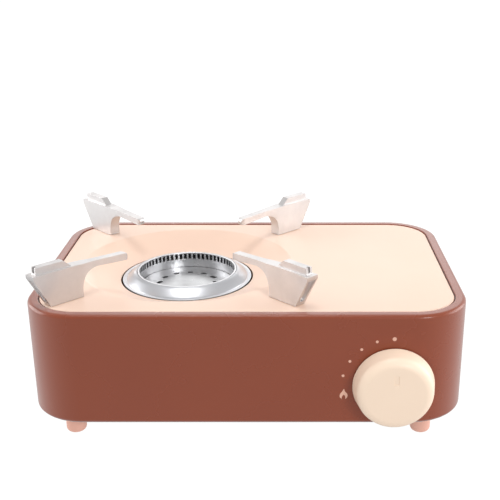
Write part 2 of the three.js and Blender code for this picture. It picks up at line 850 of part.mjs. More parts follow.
function guidePin() {
  const back = regulatorBack - 3.5;
  const nose = regulatorBack + noseLength;
  const profile = [[0, back], [1.5, back], [1.5, nose - 1], [0.8, nose], [0, nose]];
  return turnedForward(profile, 10, canX, canZ + magnetRadius + 3);
}
add("guide_pin", guidePin(), zincSteel);

const spindleBore = spindleRadius + clearance;
function valveBody() {
  const back = valveFront + valveLength;
  const profile = [
    [0, back - 2],
    [spindleBore, back - 2],
    [spindleBore, valveFront],
    [valveRadius - 1, valveFront],
    [valveRadius, valveFront + 1],
    [valveRadius, back],
    [0, back],
  ];
  return turnedForward(profile, 20, knobX, knobZ);
}
add("valve_body", valveBody(), brass);

const spindleFront = frontY - knobReach + hubFloor;
function valveSpindle() {
  const back = valveFront + valveLength - 2 - clearance;
  const profile = [
    [0, spindleFront],
    [spindleRadius - 0.5, spindleFront],
    [spindleRadius, spindleFront + 0.5],
    [spindleRadius, back],
    [0, back],
  ];
  return turnedForward(profile, 16, knobX, knobZ);
}
add("valve_spindle", valveSpindle(), brass);

// ---- Igniter: a cam on the spindle pushes the piezo plunger as the knob turns ----
function igniterCam() {
  const rampFrom = 195;
  const rampTo = 70;
  const riseAt = (degrees) => (camRise * (180 - degrees)) / knobTurn;
  const shape = new THREE.Shape();
  const low = camBase + riseAt(rampFrom);
  for (let degrees = rampTo; degrees <= rampFrom; degrees += 5) {
    const radius = camBase + riseAt(degrees);
    const at = THREE.MathUtils.degToRad(degrees);
    const x = radius * Math.cos(at);
    const z = radius * Math.sin(at);
    if (degrees === rampTo) shape.moveTo(x, z);
    else shape.lineTo(x, z);
  }
  for (let degrees = rampFrom + 15; degrees <= rampTo + 330; degrees += 15) {
    const at = THREE.MathUtils.degToRad(degrees);
    shape.lineTo(low * Math.cos(at), low * Math.sin(at));
  }
  shape.holes.push(new THREE.Path().absarc(0, 0, spindleBore, 0, 2 * Math.PI, true));
  return sideways(shape, camFront, camFront + camThick);
}
add("igniter_cam", igniterCam(), blackPlastic, knobX, 0, knobZ);

const plungerY = camFront + camThick / 2;
const plungerNose = knobX - camBase - plungerGap;
const plungerRadius = spindleRadius;
const piezoRight = plungerNose - camRise - 1.4;

function piezoBody() {
  const left = piezoRight - piezoLength;
  const bore = plungerRadius + clearance;
  const boreLeft = plungerNose - plungerLength - camRise - 2;
  const profile = [
    [0, left],
    [piezoRadius, left],
    [piezoRadius, piezoRight],
    [bore, piezoRight],
    [bore, boreLeft],
    [0, boreLeft],
  ];
  return turnedAcross(profile, 16, plungerY, knobZ);
}
add("piezo_body", piezoBody(), blackPlastic);

function piezoPlunger() {
  const profile = [[0, plungerNose - plungerLength], [plungerRadius, plungerNose - plungerLength]];
  for (let i = 0; i <= 4; i += 1) {
    const at = ((i / 4) * Math.PI) / 2;
    const along = plungerNose - plungerRadius + plungerRadius * Math.sin(at);
    profile.push([plungerRadius * Math.cos(at), along]);
  }
  return turnedAcross(profile, 12, plungerY, knobZ);
}
add("piezo_plunger", piezoPlunger(), zincSteel);

const insulatorLow = cupBottom - insulatorBelow;
const insulatorHigh = ringBottom + 4.5;

function electrodeInsulator() {
  const bore = pinRadius + clearance;
  return turned(
    closed([
      [bore, insulatorLow],
      [insulatorRadius, insulatorLow],
      [insulatorRadius, cupBottom - 4],
      [insulatorRadius + 1.8, cupBottom - 4],
      [insulatorRadius + 1.8, cupBottom - clearance],
      [insulatorRadius, cupBottom - clearance],
      [insulatorRadius, insulatorHigh],
      [bore, insulatorHigh],
    ]),
    12,
    insulatorX,
    insulatorY,
  );
}
add("electrode_insulator", electrodeInsulator(), ceramic);

function electrodePin() {
  const outward = THREE.MathUtils.degToRad(electrodeAngle);
  const at = (along, z) =>
    new THREE.Vector3(insulatorX + along * Math.cos(outward), insulatorY + along * Math.sin(outward), z);
  const bendStart = at(0, insulatorHigh + 1);
  const bendCorner = at(0, insulatorHigh + 3);
  const tip = at(3, insulatorHigh + 4);
  const path = new THREE.CurvePath();
  path.add(new THREE.LineCurve3(at(0, insulatorLow - 2), bendStart));
  path.add(new THREE.QuadraticBezierCurve3(bendStart, bendCorner, tip));
  return tube(path, 8, pinRadius, 8);
}
add("electrode_pin", electrodePin(), zincSteel);

function ignitionLead() {
  const start = piezoRight - piezoLength - clearance;
  const points = [
    [start, plungerY, knobZ],
    [start - 15, plungerY, knobZ - 1],
    [start - 40, plungerY + 2, knobZ - 10],
    [-10, -92, 32],
    [-30, -62, 30],
    [insulatorX - 1.5, insulatorY - 10, 36],
    [insulatorX, insulatorY, insulatorLow - 9],
    [insulatorX, insulatorY, insulatorLow - 2 - clearance],
  ];
  const path = new THREE.CatmullRomCurve3(points.map(([x, y, z]) => new THREE.Vector3(x, y, z)));
  return tube(path, 36, leadRadius, 8);
}
add("ignition_lead", ignitionLead(), blackRubber);

// ---- Knob: a hollow cap with a hub on the spindle, held by a spring clip ----
function knob() {
  const panelSide = frontY - knobPanelGap;
  const face = frontY - knobReach;
  const filletBack = face + knobFillet;
  const profile = [[0, face]];
  for (let i = 0; i <= 6; i += 1) {
    const at = ((i / 6) * Math.PI) / 2;
    const radius = knobFrontRadius - knobFillet + knobFillet * Math.sin(at);
    profile.push([radius, filletBack - knobFillet * Math.cos(at)]);
  }
  const hubBack = panelSide - 2;
  profile.push(
    [knobRadius, panelSide],
    [knobRadius - knobWall, panelSide],
    [knobFrontRadius - knobWall, filletBack],
    [knobFrontRadius - knobFillet, face + knobFaceWall],
    [hubRadius, face + knobFaceWall],
    [hubRadius, hubBack],
    [spindleBore, hubBack],
    [spindleBore, spindleFront - clearance],
    [0, spindleFront - clearance],
  );
  return turnedForward(profile, 40, knobX, knobZ);
}
add("knob", knob(), creamPlastic);

function knobClip() {
  const inner = hubRadius + clearance;
  const clip = new THREE.Shape();
  clip.absarc(0, 0, inner + clipWire, -clipReach * Math.PI, clipReach * Math.PI, false);
  clip.absarc(0, 0, inner, clipReach * Math.PI, -clipReach * Math.PI, true);
  return sideways(clip, frontY - knobPanelGap - clipFront, frontY - knobPanelGap - clipBack, 8);
}
add("knob_clip", knobClip(), zincSteel, knobX, 0, knobZ);

// ---- Cartridge bay: cradle under the can, shield between it and the burner ----
function cartridgeCradle() {
  const lane = (radius) =>
    turnedForward(
      [[0, cradleFront - 1], [radius, cradleFront - 1], [radius, cradleBack + 1], [0, cradleBack + 1]],
      96,
      canX,
      canZ,
    );
  const strip = (half, z0, z1, over = 0) =>
    block(canX - half, canX + half, cradleFront - over, cradleBack + over, z0, z1);
  const inner = canRadius + cradleGap;
  const saddle = strip(cradleHalf, onPan, onPan + cradleRise);
  const underside = strip(cradleHalf - panSheet, 0, rimTop, 1).subtract(lane(inner + panSheet));
  const footing = strip(cradleHalf + cradleFoot, onPan, onPan + panSheet).subtract(
    strip(cradleHalf - panSheet / 2, 0, rimTop, 1),
  );
  const hole = smallScrew.shankRadius + clearance;
  return saddle
    .subtract(lane(inner))
    .subtract(underside)
    .add(footing)
    .subtract(post(hole, canX + cradleScrewX, cradleScrewYs[0], 0, rimTop, 8))
    .subtract(post(hole, canX - cradleScrewX, cradleScrewYs[1], 0, rimTop, 8));
}
add("cartridge_cradle", cartridgeCradle(), zincSteel);
["front", "back"].forEach((side, i) => {
  const x = i === 0 ? canX + cradleScrewX : canX - cradleScrewX;
  const z = onPan + panSheet + clearance;
  add(`cradle_screw_${side}`, screw(smallScrew, 6), zincSteel, x, cradleScrewYs[i], z);
});

function heatShield() {
  const top = plateUnder - plateFlange + 1;
  const hole = smallScrew.shankRadius + clearance;
  const flange = onPan + shieldSheet;
  return block(shieldX, shieldX + shieldSheet, shieldFront, shieldBack, onPan, top)
    .add(block(shieldX - shieldFoot, shieldX + shieldSheet / 2, shieldFront, shieldBack, onPan, flange))
    .subtract(post(hole, shieldScrewX, shieldScrewYs[0], 0, rimTop / 2, 8))
    .subtract(post(hole, shieldScrewX, shieldScrewYs[1], 0, rimTop / 2, 8));
}
add("heat_shield", heatShield(), zincSteel);
["front", "back"].forEach((side, i) => {
  const z = onPan + shieldSheet + clearance;
  add(`shield_screw_${side}`, screw(smallScrew, 6), zincSteel, shieldScrewX, shieldScrewYs[i], z);
});

export default stove;
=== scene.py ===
import json
import math

import bmesh
import bpy
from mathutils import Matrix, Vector

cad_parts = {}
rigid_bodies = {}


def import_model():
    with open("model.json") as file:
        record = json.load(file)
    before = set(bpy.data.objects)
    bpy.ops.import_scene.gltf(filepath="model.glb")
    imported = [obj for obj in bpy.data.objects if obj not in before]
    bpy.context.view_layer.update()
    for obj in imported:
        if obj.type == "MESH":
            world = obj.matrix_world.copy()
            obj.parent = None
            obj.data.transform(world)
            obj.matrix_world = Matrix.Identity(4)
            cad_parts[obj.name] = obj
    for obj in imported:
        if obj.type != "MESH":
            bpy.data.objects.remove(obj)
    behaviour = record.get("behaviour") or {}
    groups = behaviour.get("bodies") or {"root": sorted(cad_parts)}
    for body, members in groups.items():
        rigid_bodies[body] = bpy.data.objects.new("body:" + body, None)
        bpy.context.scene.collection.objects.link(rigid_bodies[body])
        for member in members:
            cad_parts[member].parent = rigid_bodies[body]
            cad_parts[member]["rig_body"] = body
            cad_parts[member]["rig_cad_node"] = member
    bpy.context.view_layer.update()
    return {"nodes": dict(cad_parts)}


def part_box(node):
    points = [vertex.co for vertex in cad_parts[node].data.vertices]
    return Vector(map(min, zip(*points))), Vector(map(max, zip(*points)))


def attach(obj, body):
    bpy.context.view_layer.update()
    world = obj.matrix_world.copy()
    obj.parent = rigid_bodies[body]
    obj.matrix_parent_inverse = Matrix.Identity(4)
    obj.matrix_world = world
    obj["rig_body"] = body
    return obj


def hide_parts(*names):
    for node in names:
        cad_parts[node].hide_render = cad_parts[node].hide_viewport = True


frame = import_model()


# ---- Camera ----
# A still camera in front of the stove, a little to its right, looking down about twenty degrees.
# Its frame is shifted up and to the left, which leaves white space over the burner.
look_down = 20.64
camera_data = bpy.data.cameras.new("camera")
camera_data.sensor_width = 36
camera_data.lens = 62.69
camera_data.shift_x = -0.0662
camera_data.shift_y = 0.0358
camera = bpy.data.objects.new("camera", camera_data)
bpy.context.scene.collection.objects.link(camera)
camera.location = (0.02665, -0.6571, 0.351)
camera.rotation_euler = (math.radians(90 - look_down), 0, 0)
bpy.context.scene.camera = camera
bpy.context.scene.view_settings.view_transform = "Standard"


# ---- Studio ----
# A white light table under the stove and a soft box over it give the flat tops their brightness.
# A box behind makes the level faces pale, one in front fills the panel and the knob, and one at
# each side draws the light down the rounded corners.
stove_middle = (0, 0, 0.06)
stove_top = (0, 0, 0.1)
world = bpy.data.worlds.new("white_surround")
bpy.context.scene.world = world
world.use_nodes = True
surround = world.node_tree.nodes["Background"]
surround.inputs["Color"].default_value = (1, 0.99, 0.985, 1)


def glow_strength(tree, strength, as_light, as_seen):
    """Lets a white ground look white without lighting the stove as strongly."""
    seen = tree.nodes.new("ShaderNodeLightPath")
    chosen = tree.nodes.new("ShaderNodeMapRange")
    chosen.inputs["To Min"].default_value = as_light
    chosen.inputs["To Max"].default_value = as_seen
    tree.links.new(seen.outputs["Is Camera Ray"], chosen.inputs["Value"])
    tree.links.new(chosen.outputs["Result"], strength)


glow_strength(world.node_tree, surround.inputs["Strength"], as_light=0.62, as_seen=1.02)


def soft_box(name, place, aim, width, watts):
    """Hangs a square soft box at a place, facing a point."""
    lamp = bpy.data.lights.new(name, "AREA")
    lamp.size = width
    lamp.energy = watts
    holder = bpy.data.objects.new(name, lamp)
    bpy.context.scene.collection.objects.link(holder)
    holder.location = place
    holder.rotation_euler = (Vector(aim) - Vector(place)).to_track_quat("-Z", "Y").to_euler()


soft_box("soft_box_over", place=(-0.1, -0.1, 1.5), aim=stove_top, width=0.55, watts=5)
soft_box("soft_box_front", place=(0.85, -1.4, 0.75), aim=stove_middle, width=0.5, watts=8)
soft_box("soft_box_back", place=(0, 2.0, 1.0), aim=stove_top, width=1.6, watts=7)
soft_box("soft_box_left", place=(-1.35, 0.25, 0.3), aim=stove_middle, width=1.1, watts=14)
soft_box("soft_box_right", place=(1.35, 0.25, 0.3), aim=stove_middle, width=1.1, watts=13.5)

bpy.ops.object.select_all(action="DESELECT")
bpy.ops.mesh.primitive_plane_add(size=40, location=(0, 0, 0))
light_table = bpy.context.object
light_table.name = "light_table"
table_glow = bpy.data.materials.new("table_glow")
table_glow.use_nodes = True
table_shader = table_glow.node_tree.nodes["Principled BSDF"]
table_shader.inputs["Base Color"].default_value = (0.05, 0.05, 0.05, 1)
table_shader.inputs["Roughness"].default_value = 0.8
table_shader.inputs["Emission Color"].default_value = (1, 1, 1, 1)
table_emission = table_shader.inputs["Emission Strength"]
glow_strength(table_glow.node_tree, table_emission, as_light=0.64, as_seen=0.99)
light_table.data.materials.append(table_glow)


# ---- Ignition lead ----
# A silicone-sheathed wire from the piezo igniter to the spark electrode, under the burner bracket.
# It plugs on at both ends and hangs free between them, just clear of the base pan.
lead_radius = 0.0012
piezo_low, piezo_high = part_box("piezo_body")
insulator_low, insulator_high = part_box("electrode_insulator")
piezo_centre = (piezo_low + piezo_high) / 2
insulator_centre = (insulator_low + insulator_high) / 2
piezo_plug = 0.0003  # from the case to the wire
insulator_plug = 0.0023
lead_start = Vector((piezo_low.x - piezo_plug, piezo_centre.y, piezo_centre.z))
lead_end = Vector((insulator_centre.x, insulator_centre.y, insulator_low.z - insulator_plug))
straight_out = lead_start + Vector((-0.015, 0, -0.001))
past_valve = lead_start + Vector((-0.040, 0.002, -0.010))
over_pan = Vector((-0.0100, -0.08375, 0.0320))
under_bracket = Vector((-0.0300, -0.05375, 0.0300))
turning_up = Vector((-0.0378, -0.02730, 0.0360))
straight_up = lead_end + Vector((0, 0, -0.0067))
lead_route = [
    lead_start,
    straight_out,
    past_valve,
    over_pan,
    under_bracket,
    turning_up,
    straight_up,
    lead_end,
]
lead_line = bpy.data.curves.new("ignition_lead_wire", "CURVE")
lead_line.dimensions = "3D"
lead_line.bevel_depth = lead_radius
lead_line.bevel_resolution = 5
lead_line.resolution_u = 10
lead_line.use_fill_caps = True
lead_spline = lead_line.splines.new("BEZIER")
lead_spline.bezier_points.add(len(lead_route) - 1)
for knot, place in zip(lead_spline.bezier_points, lead_route):
    knot.co = place
    knot.handle_left_type = "AUTO"
    knot.handle_right_type = "AUTO"
ignition_lead = bpy.data.objects.new("ignition_lead_wire", lead_line)
bpy.context.scene.collection.objects.link(ignition_lead)


def grain_group():
    """Fine grain and slow unevenness, as every coated, cast or moulded surface has."""
    group = bpy.data.node_groups.new("surface_grain", "ShaderNodeTree")
    tree = group.interface
    tree.new_socket("Vector", in_out="INPUT", socket_type="NodeSocketVector")
    tree.new_socket("Grains per metre", in_out="INPUT", socket_type="NodeSocketFloat")
    tree.new_socket("Patches per metre", in_out="INPUT", socket_type="NodeSocketFloat")
    tree.new_socket("Height", in_out="OUTPUT", socket_type="NodeSocketFloat")
    tree.new_socket("Patches", in_out="OUTPUT", socket_type="NodeSocketFloat")
    inside = group.nodes.new("NodeGroupInput")
    outside = group.nodes.new("NodeGroupOutput")
    fine = group.nodes.new("ShaderNodeTexNoise")
    fine.inputs["Detail"].default_value = 3
    slow = group.nodes.new("ShaderNodeTexNoise")
    slow.inputs["Detail"].default_value = 4
    slow.inputs["Roughness"].default_value = 0.55
    link = group.links.new
    link(inside.outputs["Vector"], fine.inputs["Vector"])
    link(inside.outputs["Vector"], slow.inputs["Vector"])
    link(inside.outputs["Grains per metre"], fine.inputs["Scale"])
    link(inside.outputs["Patches per metre"], slow.inputs["Scale"])
    link(fine.outputs["Fac"], outside.inputs["Height"])
    link(slow.outputs["Fac"], outside.inputs["Patches"])
    return group


surface_grain = grain_group()


def finish(name, light, dark, gloss, grains, depth, patches=25, metal=0.0, bloom=0.0, relief=None):
    """Two close colours in slow patches, roughness between two values, and a fine grain.

    Grains and patches are counted per metre. Depth is the grain's height in metres, bloom the pale
    sheen of a powder coat at a glance, and relief a group of heights, its centre and its weight.
    """
    made = bpy.data.materials.new(name)
    made.use_nodes = True
    nodes = made.node_tree.nodes
    link = made.node_tree.links.new
    shader = nodes["Principled BSDF"]
    shader.inputs["Metallic"].default_value = metal
    shader.inputs["Sheen Weight"].default_value = bloom
    place = nodes.new("ShaderNodeTexCoord")
    grain = nodes.new("ShaderNodeGroup")
    grain.node_tree = surface_grain
    grain.inputs["Grains per metre"].default_value = grains
    grain.inputs["Patches per metre"].default_value = patches
    link(place.outputs["Object"], grain.inputs["Vector"])
    # a noise keeps near its middle, so it is spread over the whole range
    spread = nodes.new("ShaderNodeMapRange")
    spread.inputs["From Min"].default_value = 0.3
    spread.inputs["From Max"].default_value = 0.7
    link(grain.outputs["Patches"], spread.inputs["Value"])
    colour = nodes.new("ShaderNodeMix")
    colour.data_type = "RGBA"
    colour.inputs["A"].default_value = (*light, 1)
    colour.inputs["B"].default_value = (*dark, 1)
    link(spread.outputs["Result"], colour.inputs["Factor"])
    link(colour.outputs["Result"], shader.inputs["Base Color"])
    rough = nodes.new("ShaderNodeMapRange")
    rough.inputs["To Min"].default_value = gloss[0]
    rough.inputs["To Max"].default_value = gloss[1]
    link(spread.outputs["Result"], rough.inputs["Value"])
    link(rough.outputs["Result"], shader.inputs["Roughness"])
    bump = nodes.new("ShaderNodeBump")
    bump.inputs["Strength"].default_value = 1
    bump.inputs["Distance"].default_value = depth
    height = grain.outputs["Height"]
    if relief:
        pattern = nodes.new("ShaderNodeGroup")
        pattern.node_tree = relief[0]
        centre = nodes.new("ShaderNodeMapping")
        centre.inputs["Location"].default_value = relief[1]
        link(place.outputs["Object"], centre.inputs["Vector"])
        link(centre.outputs["Vector"], pattern.inputs["Vector"])
        both = nodes.new("ShaderNodeMath")
        both.operation = "MULTIPLY_ADD"
        both.inputs[1].default_value = relief[2]
        link(pattern.outputs["Height"], both.inputs[0])
        link(height, both.inputs[2])
        height = both.outputs["Value"]
    link(height, bump.inputs["Height"])
    link(bump.outputs["Normal"], shader.inputs["Normal"])
    return made


lead_sheath = finish(
    "lead_sheath",
    light=(0.02, 0.02, 0.022),
    dark=(0.03, 0.03, 0.032),
    gloss=(0.4, 0.55),
    grains=1500,
    depth=0.00002,
)
lead_line.materials.append(lead_sheath)
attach(ignition_lead, "body")
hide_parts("ignition_lead")


# ---- Body shell ----
# One deep-drawn steel shell with a narrow flat rim, turned down inside to hold the top plate.
# It is powder-coated in a satin terracotta brown. Tabs spot-welded inside carry the plate and the
# pan, and a hole in the front lets the valve's spindle out.
shell_low, shell_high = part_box("body_shell")
shell_half = (shell_high - shell_low) / 2
shell_middle = (shell_low + shell_high) / 2
corner_radius = 0.041
edge_fillet = 0.003
sheet = 0.0015
rim_width = 0.0077
lip_depth = 0.008
lip_round = 0.0006
lip_level = shell_high.z - lip_depth
shell_bottom = shell_low.z
open_below = 0.0004  # the drawn blank's floor is cut away up to this height over the bottom
tab_half = 0.007
tab_along = 0.060  # from the middle of each wall
plate_tab_reach = 0.0093
pan_tab_reach = 0.01475
pan_tab_level = 0.0243
weld = 0.0010  # how far a tab runs into what holds it
tab_break = 0.0004
spindle_hole = 0.005
tiny = 1e-5


def take(piece):
    """Makes one piece the only one in hand."""
    bpy.ops.object.select_all(action="DESELECT")
    piece.select_set(True)
    bpy.context.view_layer.objects.active = piece


def edit(piece):
    """Takes one piece into edit mode."""
    take(piece)
    bpy.ops.object.mode_set(mode="EDIT")


def done():
    """Leaves edit mode."""
    bpy.ops.object.mode_set(mode="OBJECT")


def pick(kind, wanted):
    """In edit mode, selects the verts, edges or faces that a test picks out."""
    bpy.ops.mesh.select_mode(type=kind)
    bpy.ops.mesh.select_all(action="DESELECT")
    mesh = bmesh.from_edit_mesh(bpy.context.object.data)
    for part in {"VERT": mesh.verts, "EDGE": mesh.edges, "FACE": mesh.faces}[kind]:
        if wanted(part):
            part.select_set(True)
    bmesh.update_edit_mesh(bpy.context.object.data)


def push(x=0, y=0, z=0):
    """Extrudes what is selected."""
    bpy.ops.mesh.extrude_region_move(TRANSFORM_OT_translate={"value": (x, y, z)})


def work(piece, kind, **settings):
    """Puts a modifier on a piece and applies it."""
    take(piece)
    modifier = piece.modifiers.new(kind.lower(), kind)
    for setting, value in settings.items():
        setattr(modifier, setting, value)
    bpy.ops.object.modifier_apply(modifier=modifier.name)


def block(name, low, high):
    """A plain block between two corners, to shape further."""
    low, high = Vector(low), Vector(high)
    bpy.ops.object.select_all(action="DESELECT")
    bpy.ops.mesh.primitive_cube_add(size=1, location=(low + high) / 2, scale=high - low)
    bpy.ops.object.transform_apply(location=True, rotation=True, scale=True)
    piece = bpy.context.object
    piece.name = name
    return piece


def round_block(name, low, high, radius, steps):
    """A block whose four upright edges are rounded."""
    piece = block(name, low, high)
    edit(piece)
    pick("EDGE", lambda e: abs(e.verts[0].co.z - e.verts[1].co.z) > tiny)
    bpy.ops.mesh.bevel(offset=radius, offset_pct=0, segments=steps, affect="EDGES")
    return piece


def join(first, *others):
    """Makes several pieces one."""
    take(first)
    for other in others:
        other.select_set(True)
    bpy.ops.object.join()
    return first


def cut(piece, tool):
    """Cuts a tool's shape out of a piece and throws the tool away."""
    work(piece, "BOOLEAN", operation="DIFFERENCE", object=tool, solver="EXACT")
    bpy.data.objects.remove(tool)


def soften(piece, width, steps=2, angle=35):
    """Breaks the sharp edges and smooths the rest."""
    if width:
        work(
            piece,
            "BEVEL",
            width=width,
            segments=steps,
            limit_method="ANGLE",
            angle_limit=math.radians(angle),
            use_clamp_overlap=True,
        )
    take(piece)
    bpy.ops.object.shade_smooth_by_angle(angle=math.radians(angle))
    work(piece, "WEIGHTED_NORMAL", keep_sharp=True)


def install(piece, body, material, slot, *nodes):
    """Gives a finished piece its material and fixes it where the CAD part sits."""
    take(piece)
    bpy.ops.object.transform_apply(location=True, rotation=True, scale=True)
    piece.data.materials.clear()
    piece.data.materials.append(material)
    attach(piece, body)
    if nodes:
        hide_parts(*nodes)


def in_from_edge(point):
    """How far a point lies in from the shell's outline."""
    x = max(abs(point.x) - (shell_half.x - corner_radius), 0)
    y = max(abs(point.y - shell_middle.y) - (shell_half.y - corner_radius), 0)
    return corner_radius - math.hypot(x, y)


brown_paint = finish(
    "brown_paint",
    light=(0.265, 0.049, 0.014),
    dark=(0.253, 0.046, 0.013),
    gloss=(0.24, 0.30),
    grains=900,
    depth=0.000004,
    patches=18,
    bloom=0.35,
)

body_shell = round_block(
    "body_shell_coated",
    (shell_low.x, shell_low.y, shell_bottom),
    (shell_high.x, shell_high.y, shell_high.z),
    corner_radius,
    20,
)
for level in (shell_bottom, shell_high.z):
    pick(
        "EDGE",
        lambda e: all(abs(v.co.z - level) < tiny and in_from_edge(v.co) < tiny for v in e.verts),
    )
    bpy.ops.mesh.bevel(offset=edge_fillet, offset_pct=0, segments=6, affect="EDGES")
pick("FACE", lambda f: f.calc_center_median().z < shell_bottom + open_below)
bpy.ops.mesh.delete(type="FACE")
pick("FACE", lambda f: f.normal.z > 0.999 and len(f.verts) > 8)
bpy.ops.mesh.inset(thickness=rim_width - edge_fillet, use_even_offset=True)
push(z=-lip_depth)
bpy.ops.mesh.delete(type="FACE")
pick(
    "EDGE",
    lambda e: all(
        abs(v.co.z - shell_high.z) < tiny and in_from_edge(v.co) > rim_width - tiny
        for v in e.verts
    ),
)
bpy.ops.mesh.bevel(offset=lip_round, offset_pct=0, segments=3, affect="EDGES")
done()
work(body_shell, "SOLIDIFY", thickness=sheet, offset=-1, use_even_offset=True)

tabs = []
for side_x in (-1, 1):
    for side_y in (-1, 1):
        inner = side_x * (shell_half.x - rim_width - plate_tab_reach)
        outer = side_x * (shell_half.x - rim_width + weld)
        y = shell_middle.y + side_y * tab_along
        tabs.append(
            block(
                "plate_tab",
                (min(inner, outer), y - tab_half, lip_level - sheet),
                (max(inner, outer), y + tab_half, lip_level + 0.2 * weld),
            )
        )
        inner = shell_middle.y + side_y * (shell_half.y - pan_tab_reach)
        outer = shell_middle.y + side_y * (shell_half.y - weld)
        x = side_x * tab_along
        tabs.append(
            block(
                "pan_tab",
                (x - tab_half, min(inner, outer), pan_tab_level),
                (x + tab_half, max(inner, outer), pan_tab_level + sheet),
            )
        )
for tab in tabs:
    soften(tab, tab_break)

knob_low, knob_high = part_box("knob")
knob_axis = Vector(((knob_low.x + knob_high.x) / 2, 0, (knob_low.z + knob_high.z) / 2))
panel = shell_low.y
bpy.ops.object.select_all(action="DESELECT")
bpy.ops.mesh.primitive_cylinder_add(
    vertices=48,
    radius=spindle_hole,
    depth=2 * spindle_hole,
    location=(knob_axis.x, panel, knob_axis.z),
    rotation=(math.pi / 2, 0, 0),
)
cut(body_shell, bpy.context.object)
soften(body_shell, 0)
join(body_shell, *tabs)
install(body_shell, "body", brown_paint, "brown_paint", "body_shell")


# ---- Panel marks ----
# The setting marks on the front panel: off at the top, four steps, and a flame for full heat.
# They are screen-printed in the plate's peach colour, and stand a hair proud of the coat.
mark_ring = 0.0365
mark_middle = knob_axis.x - 0.0007
mark_step = math.radians(19.5)
off_dot = 0.0015
step_dot = 0.00105
print_height = 0.00012
flame_wide = 0.00102  # what one unit of the flame's outline measures
flame_tall = 0.00128
panel_ink = finish(
    "panel_ink",
    light=(0.84, 0.50, 0.38),
    dark=(0.78, 0.46, 0.35),
    gloss=(0.45, 0.6),
    grains=1200,
    depth=0.00001,
)

marks = []
for step, radius in enumerate((off_dot, step_dot, step_dot, step_dot, step_dot)):
    turn = step * mark_step
    bpy.ops.object.select_all(action="DESELECT")
    bpy.ops.mesh.primitive_cylinder_add(
        vertices=28,
        radius=radius,
        depth=2 * print_height,
        location=(
            mark_middle - mark_ring * math.sin(turn),
            panel,
            knob_axis.z + mark_ring * math.cos(turn),
        ),
        rotation=(math.pi / 2, 0, 0),
    )
    dot = bpy.context.object
    bpy.ops.object.transform_apply(location=True, rotation=True, scale=True)
    soften(dot, print_height / 3, 1)
    marks.append(dot)

flame_line = bpy.data.curves.new("flame_mark", "CURVE")
flame_line.dimensions = "2D"
flame_line.fill_mode = "BOTH"
flame_line.extrude = print_height
flame_line.resolution_u = 6
flame_outline = [
    (0.2, 3.3, "VECTOR"),
    (1.1, 1.5, "AUTO"),
    (2.6, 0.0, "AUTO"),
    (2.7, -1.8, "AUTO"),
    (1.3, -3.2, "VECTOR"),
    (1.2, -1.7, "AUTO"),
    (0.1, -0.3, "VECTOR"),
    (-1.1, -1.7, "AUTO"),
    (-1.3, -3.2, "VECTOR"),
    (-2.7, -1.8, "AUTO"),
    (-2.3, 0.2, "AUTO"),
    (-1.3, 1.3, "VECTOR"),
    (-0.8, 2.0, "AUTO"),
]
flame_spline = flame_line.splines.new("BEZIER")
flame_spline.bezier_points.add(len(flame_outline) - 1)
flame_spline.use_cyclic_u = True
for knot, (x, y, handles) in zip(flame_spline.bezier_points, flame_outline):
    knot.co = (x * flame_wide, y * flame_tall, 0)
    knot.handle_left_type = handles
    knot.handle_right_type = handles
flame = bpy.data.objects.new("flame_mark", flame_line)
bpy.context.scene.collection.objects.link(flame)
take(flame)
bpy.ops.object.convert(target="MESH")
flame = bpy.context.object
flame_turn = math.radians(101.5)
flame_ring = 0.0357
flame.location = (
    mark_middle - flame_ring * math.sin(flame_turn),
    panel,
    knob_axis.z + flame_ring * math.cos(flame_turn),
)
flame.rotation_euler = (math.pi / 2, 0, 0)
bpy.ops.object.transform_apply(location=True, rotation=True, scale=True)
join(flame, *marks)
flame.name = "panel_marks"
install(flame, "body", panel_ink, "cream_paint")


# ---- Base pan ----
# A zinc-plated steel pan that closes the stove from below, with two rows of slots for the
# burner's air. Its turned edge slips inside the shell and is held by four screws.
merge_distance = 1e-6


def merge(distance):
    """In edit mode, makes one vertex of those that lie together, and leaves all selected."""
    bpy.ops.mesh.select_all(action="SELECT")
    bpy.ops.mesh.remove_doubles(threshold=distance)


def close_copy(node, name, width, steps=2, angle=35):
    """A copy of a CAD node, merged into clean faces, with its edges broken."""
    piece = frame["nodes"][node].copy()
    piece.data = piece.data.copy()
    piece.parent = None
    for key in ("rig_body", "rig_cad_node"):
        del piece[key]
    piece.name = name
    bpy.context.scene.collection.objects.link(piece)
    edit(piece)
    merge(merge_distance)
    bpy.ops.mesh.dissolve_limited(angle_limit=math.radians(1))
    done()
    soften(piece, width, steps, angle)
    return piece


zinc_sheet = finish(
    "zinc_sheet",
    light=(0.56, 0.58, 0.60),
    dark=(0.44, 0.46, 0.48),
    gloss=(0.28, 0.42),
    grains=1400,
    depth=0.000006,
    patches=160,
    metal=1.0,
)
base_pan = close_copy("base_pan", "base_pan_plated", 0.0003)
install(base_pan, "body", zinc_sheet, "zinc_sheet", "base_pan")


# ---- Feet ----
# Four solid rubber feet, moulded in matt peach, rounded underneath so that they don't mark a table.
# Each is drawn up against the pan by a screw from inside.
corners = ("front_left", "front_right", "back_left", "back_right")
foot_round = 0.0034
drawing_merge = 1e-7


def one_point(name, place):
    """A block cut down to one corner, in edit mode, from which an outline is drawn."""
    piece = block(name, place - Vector((1, 1, 1)), place)
    edit(piece)
    pick("VERT", lambda v: (v.co - place).length > tiny)
    bpy.ops.mesh.delete(type="VERT")
    pick("VERT", lambda v: True)
    return piece


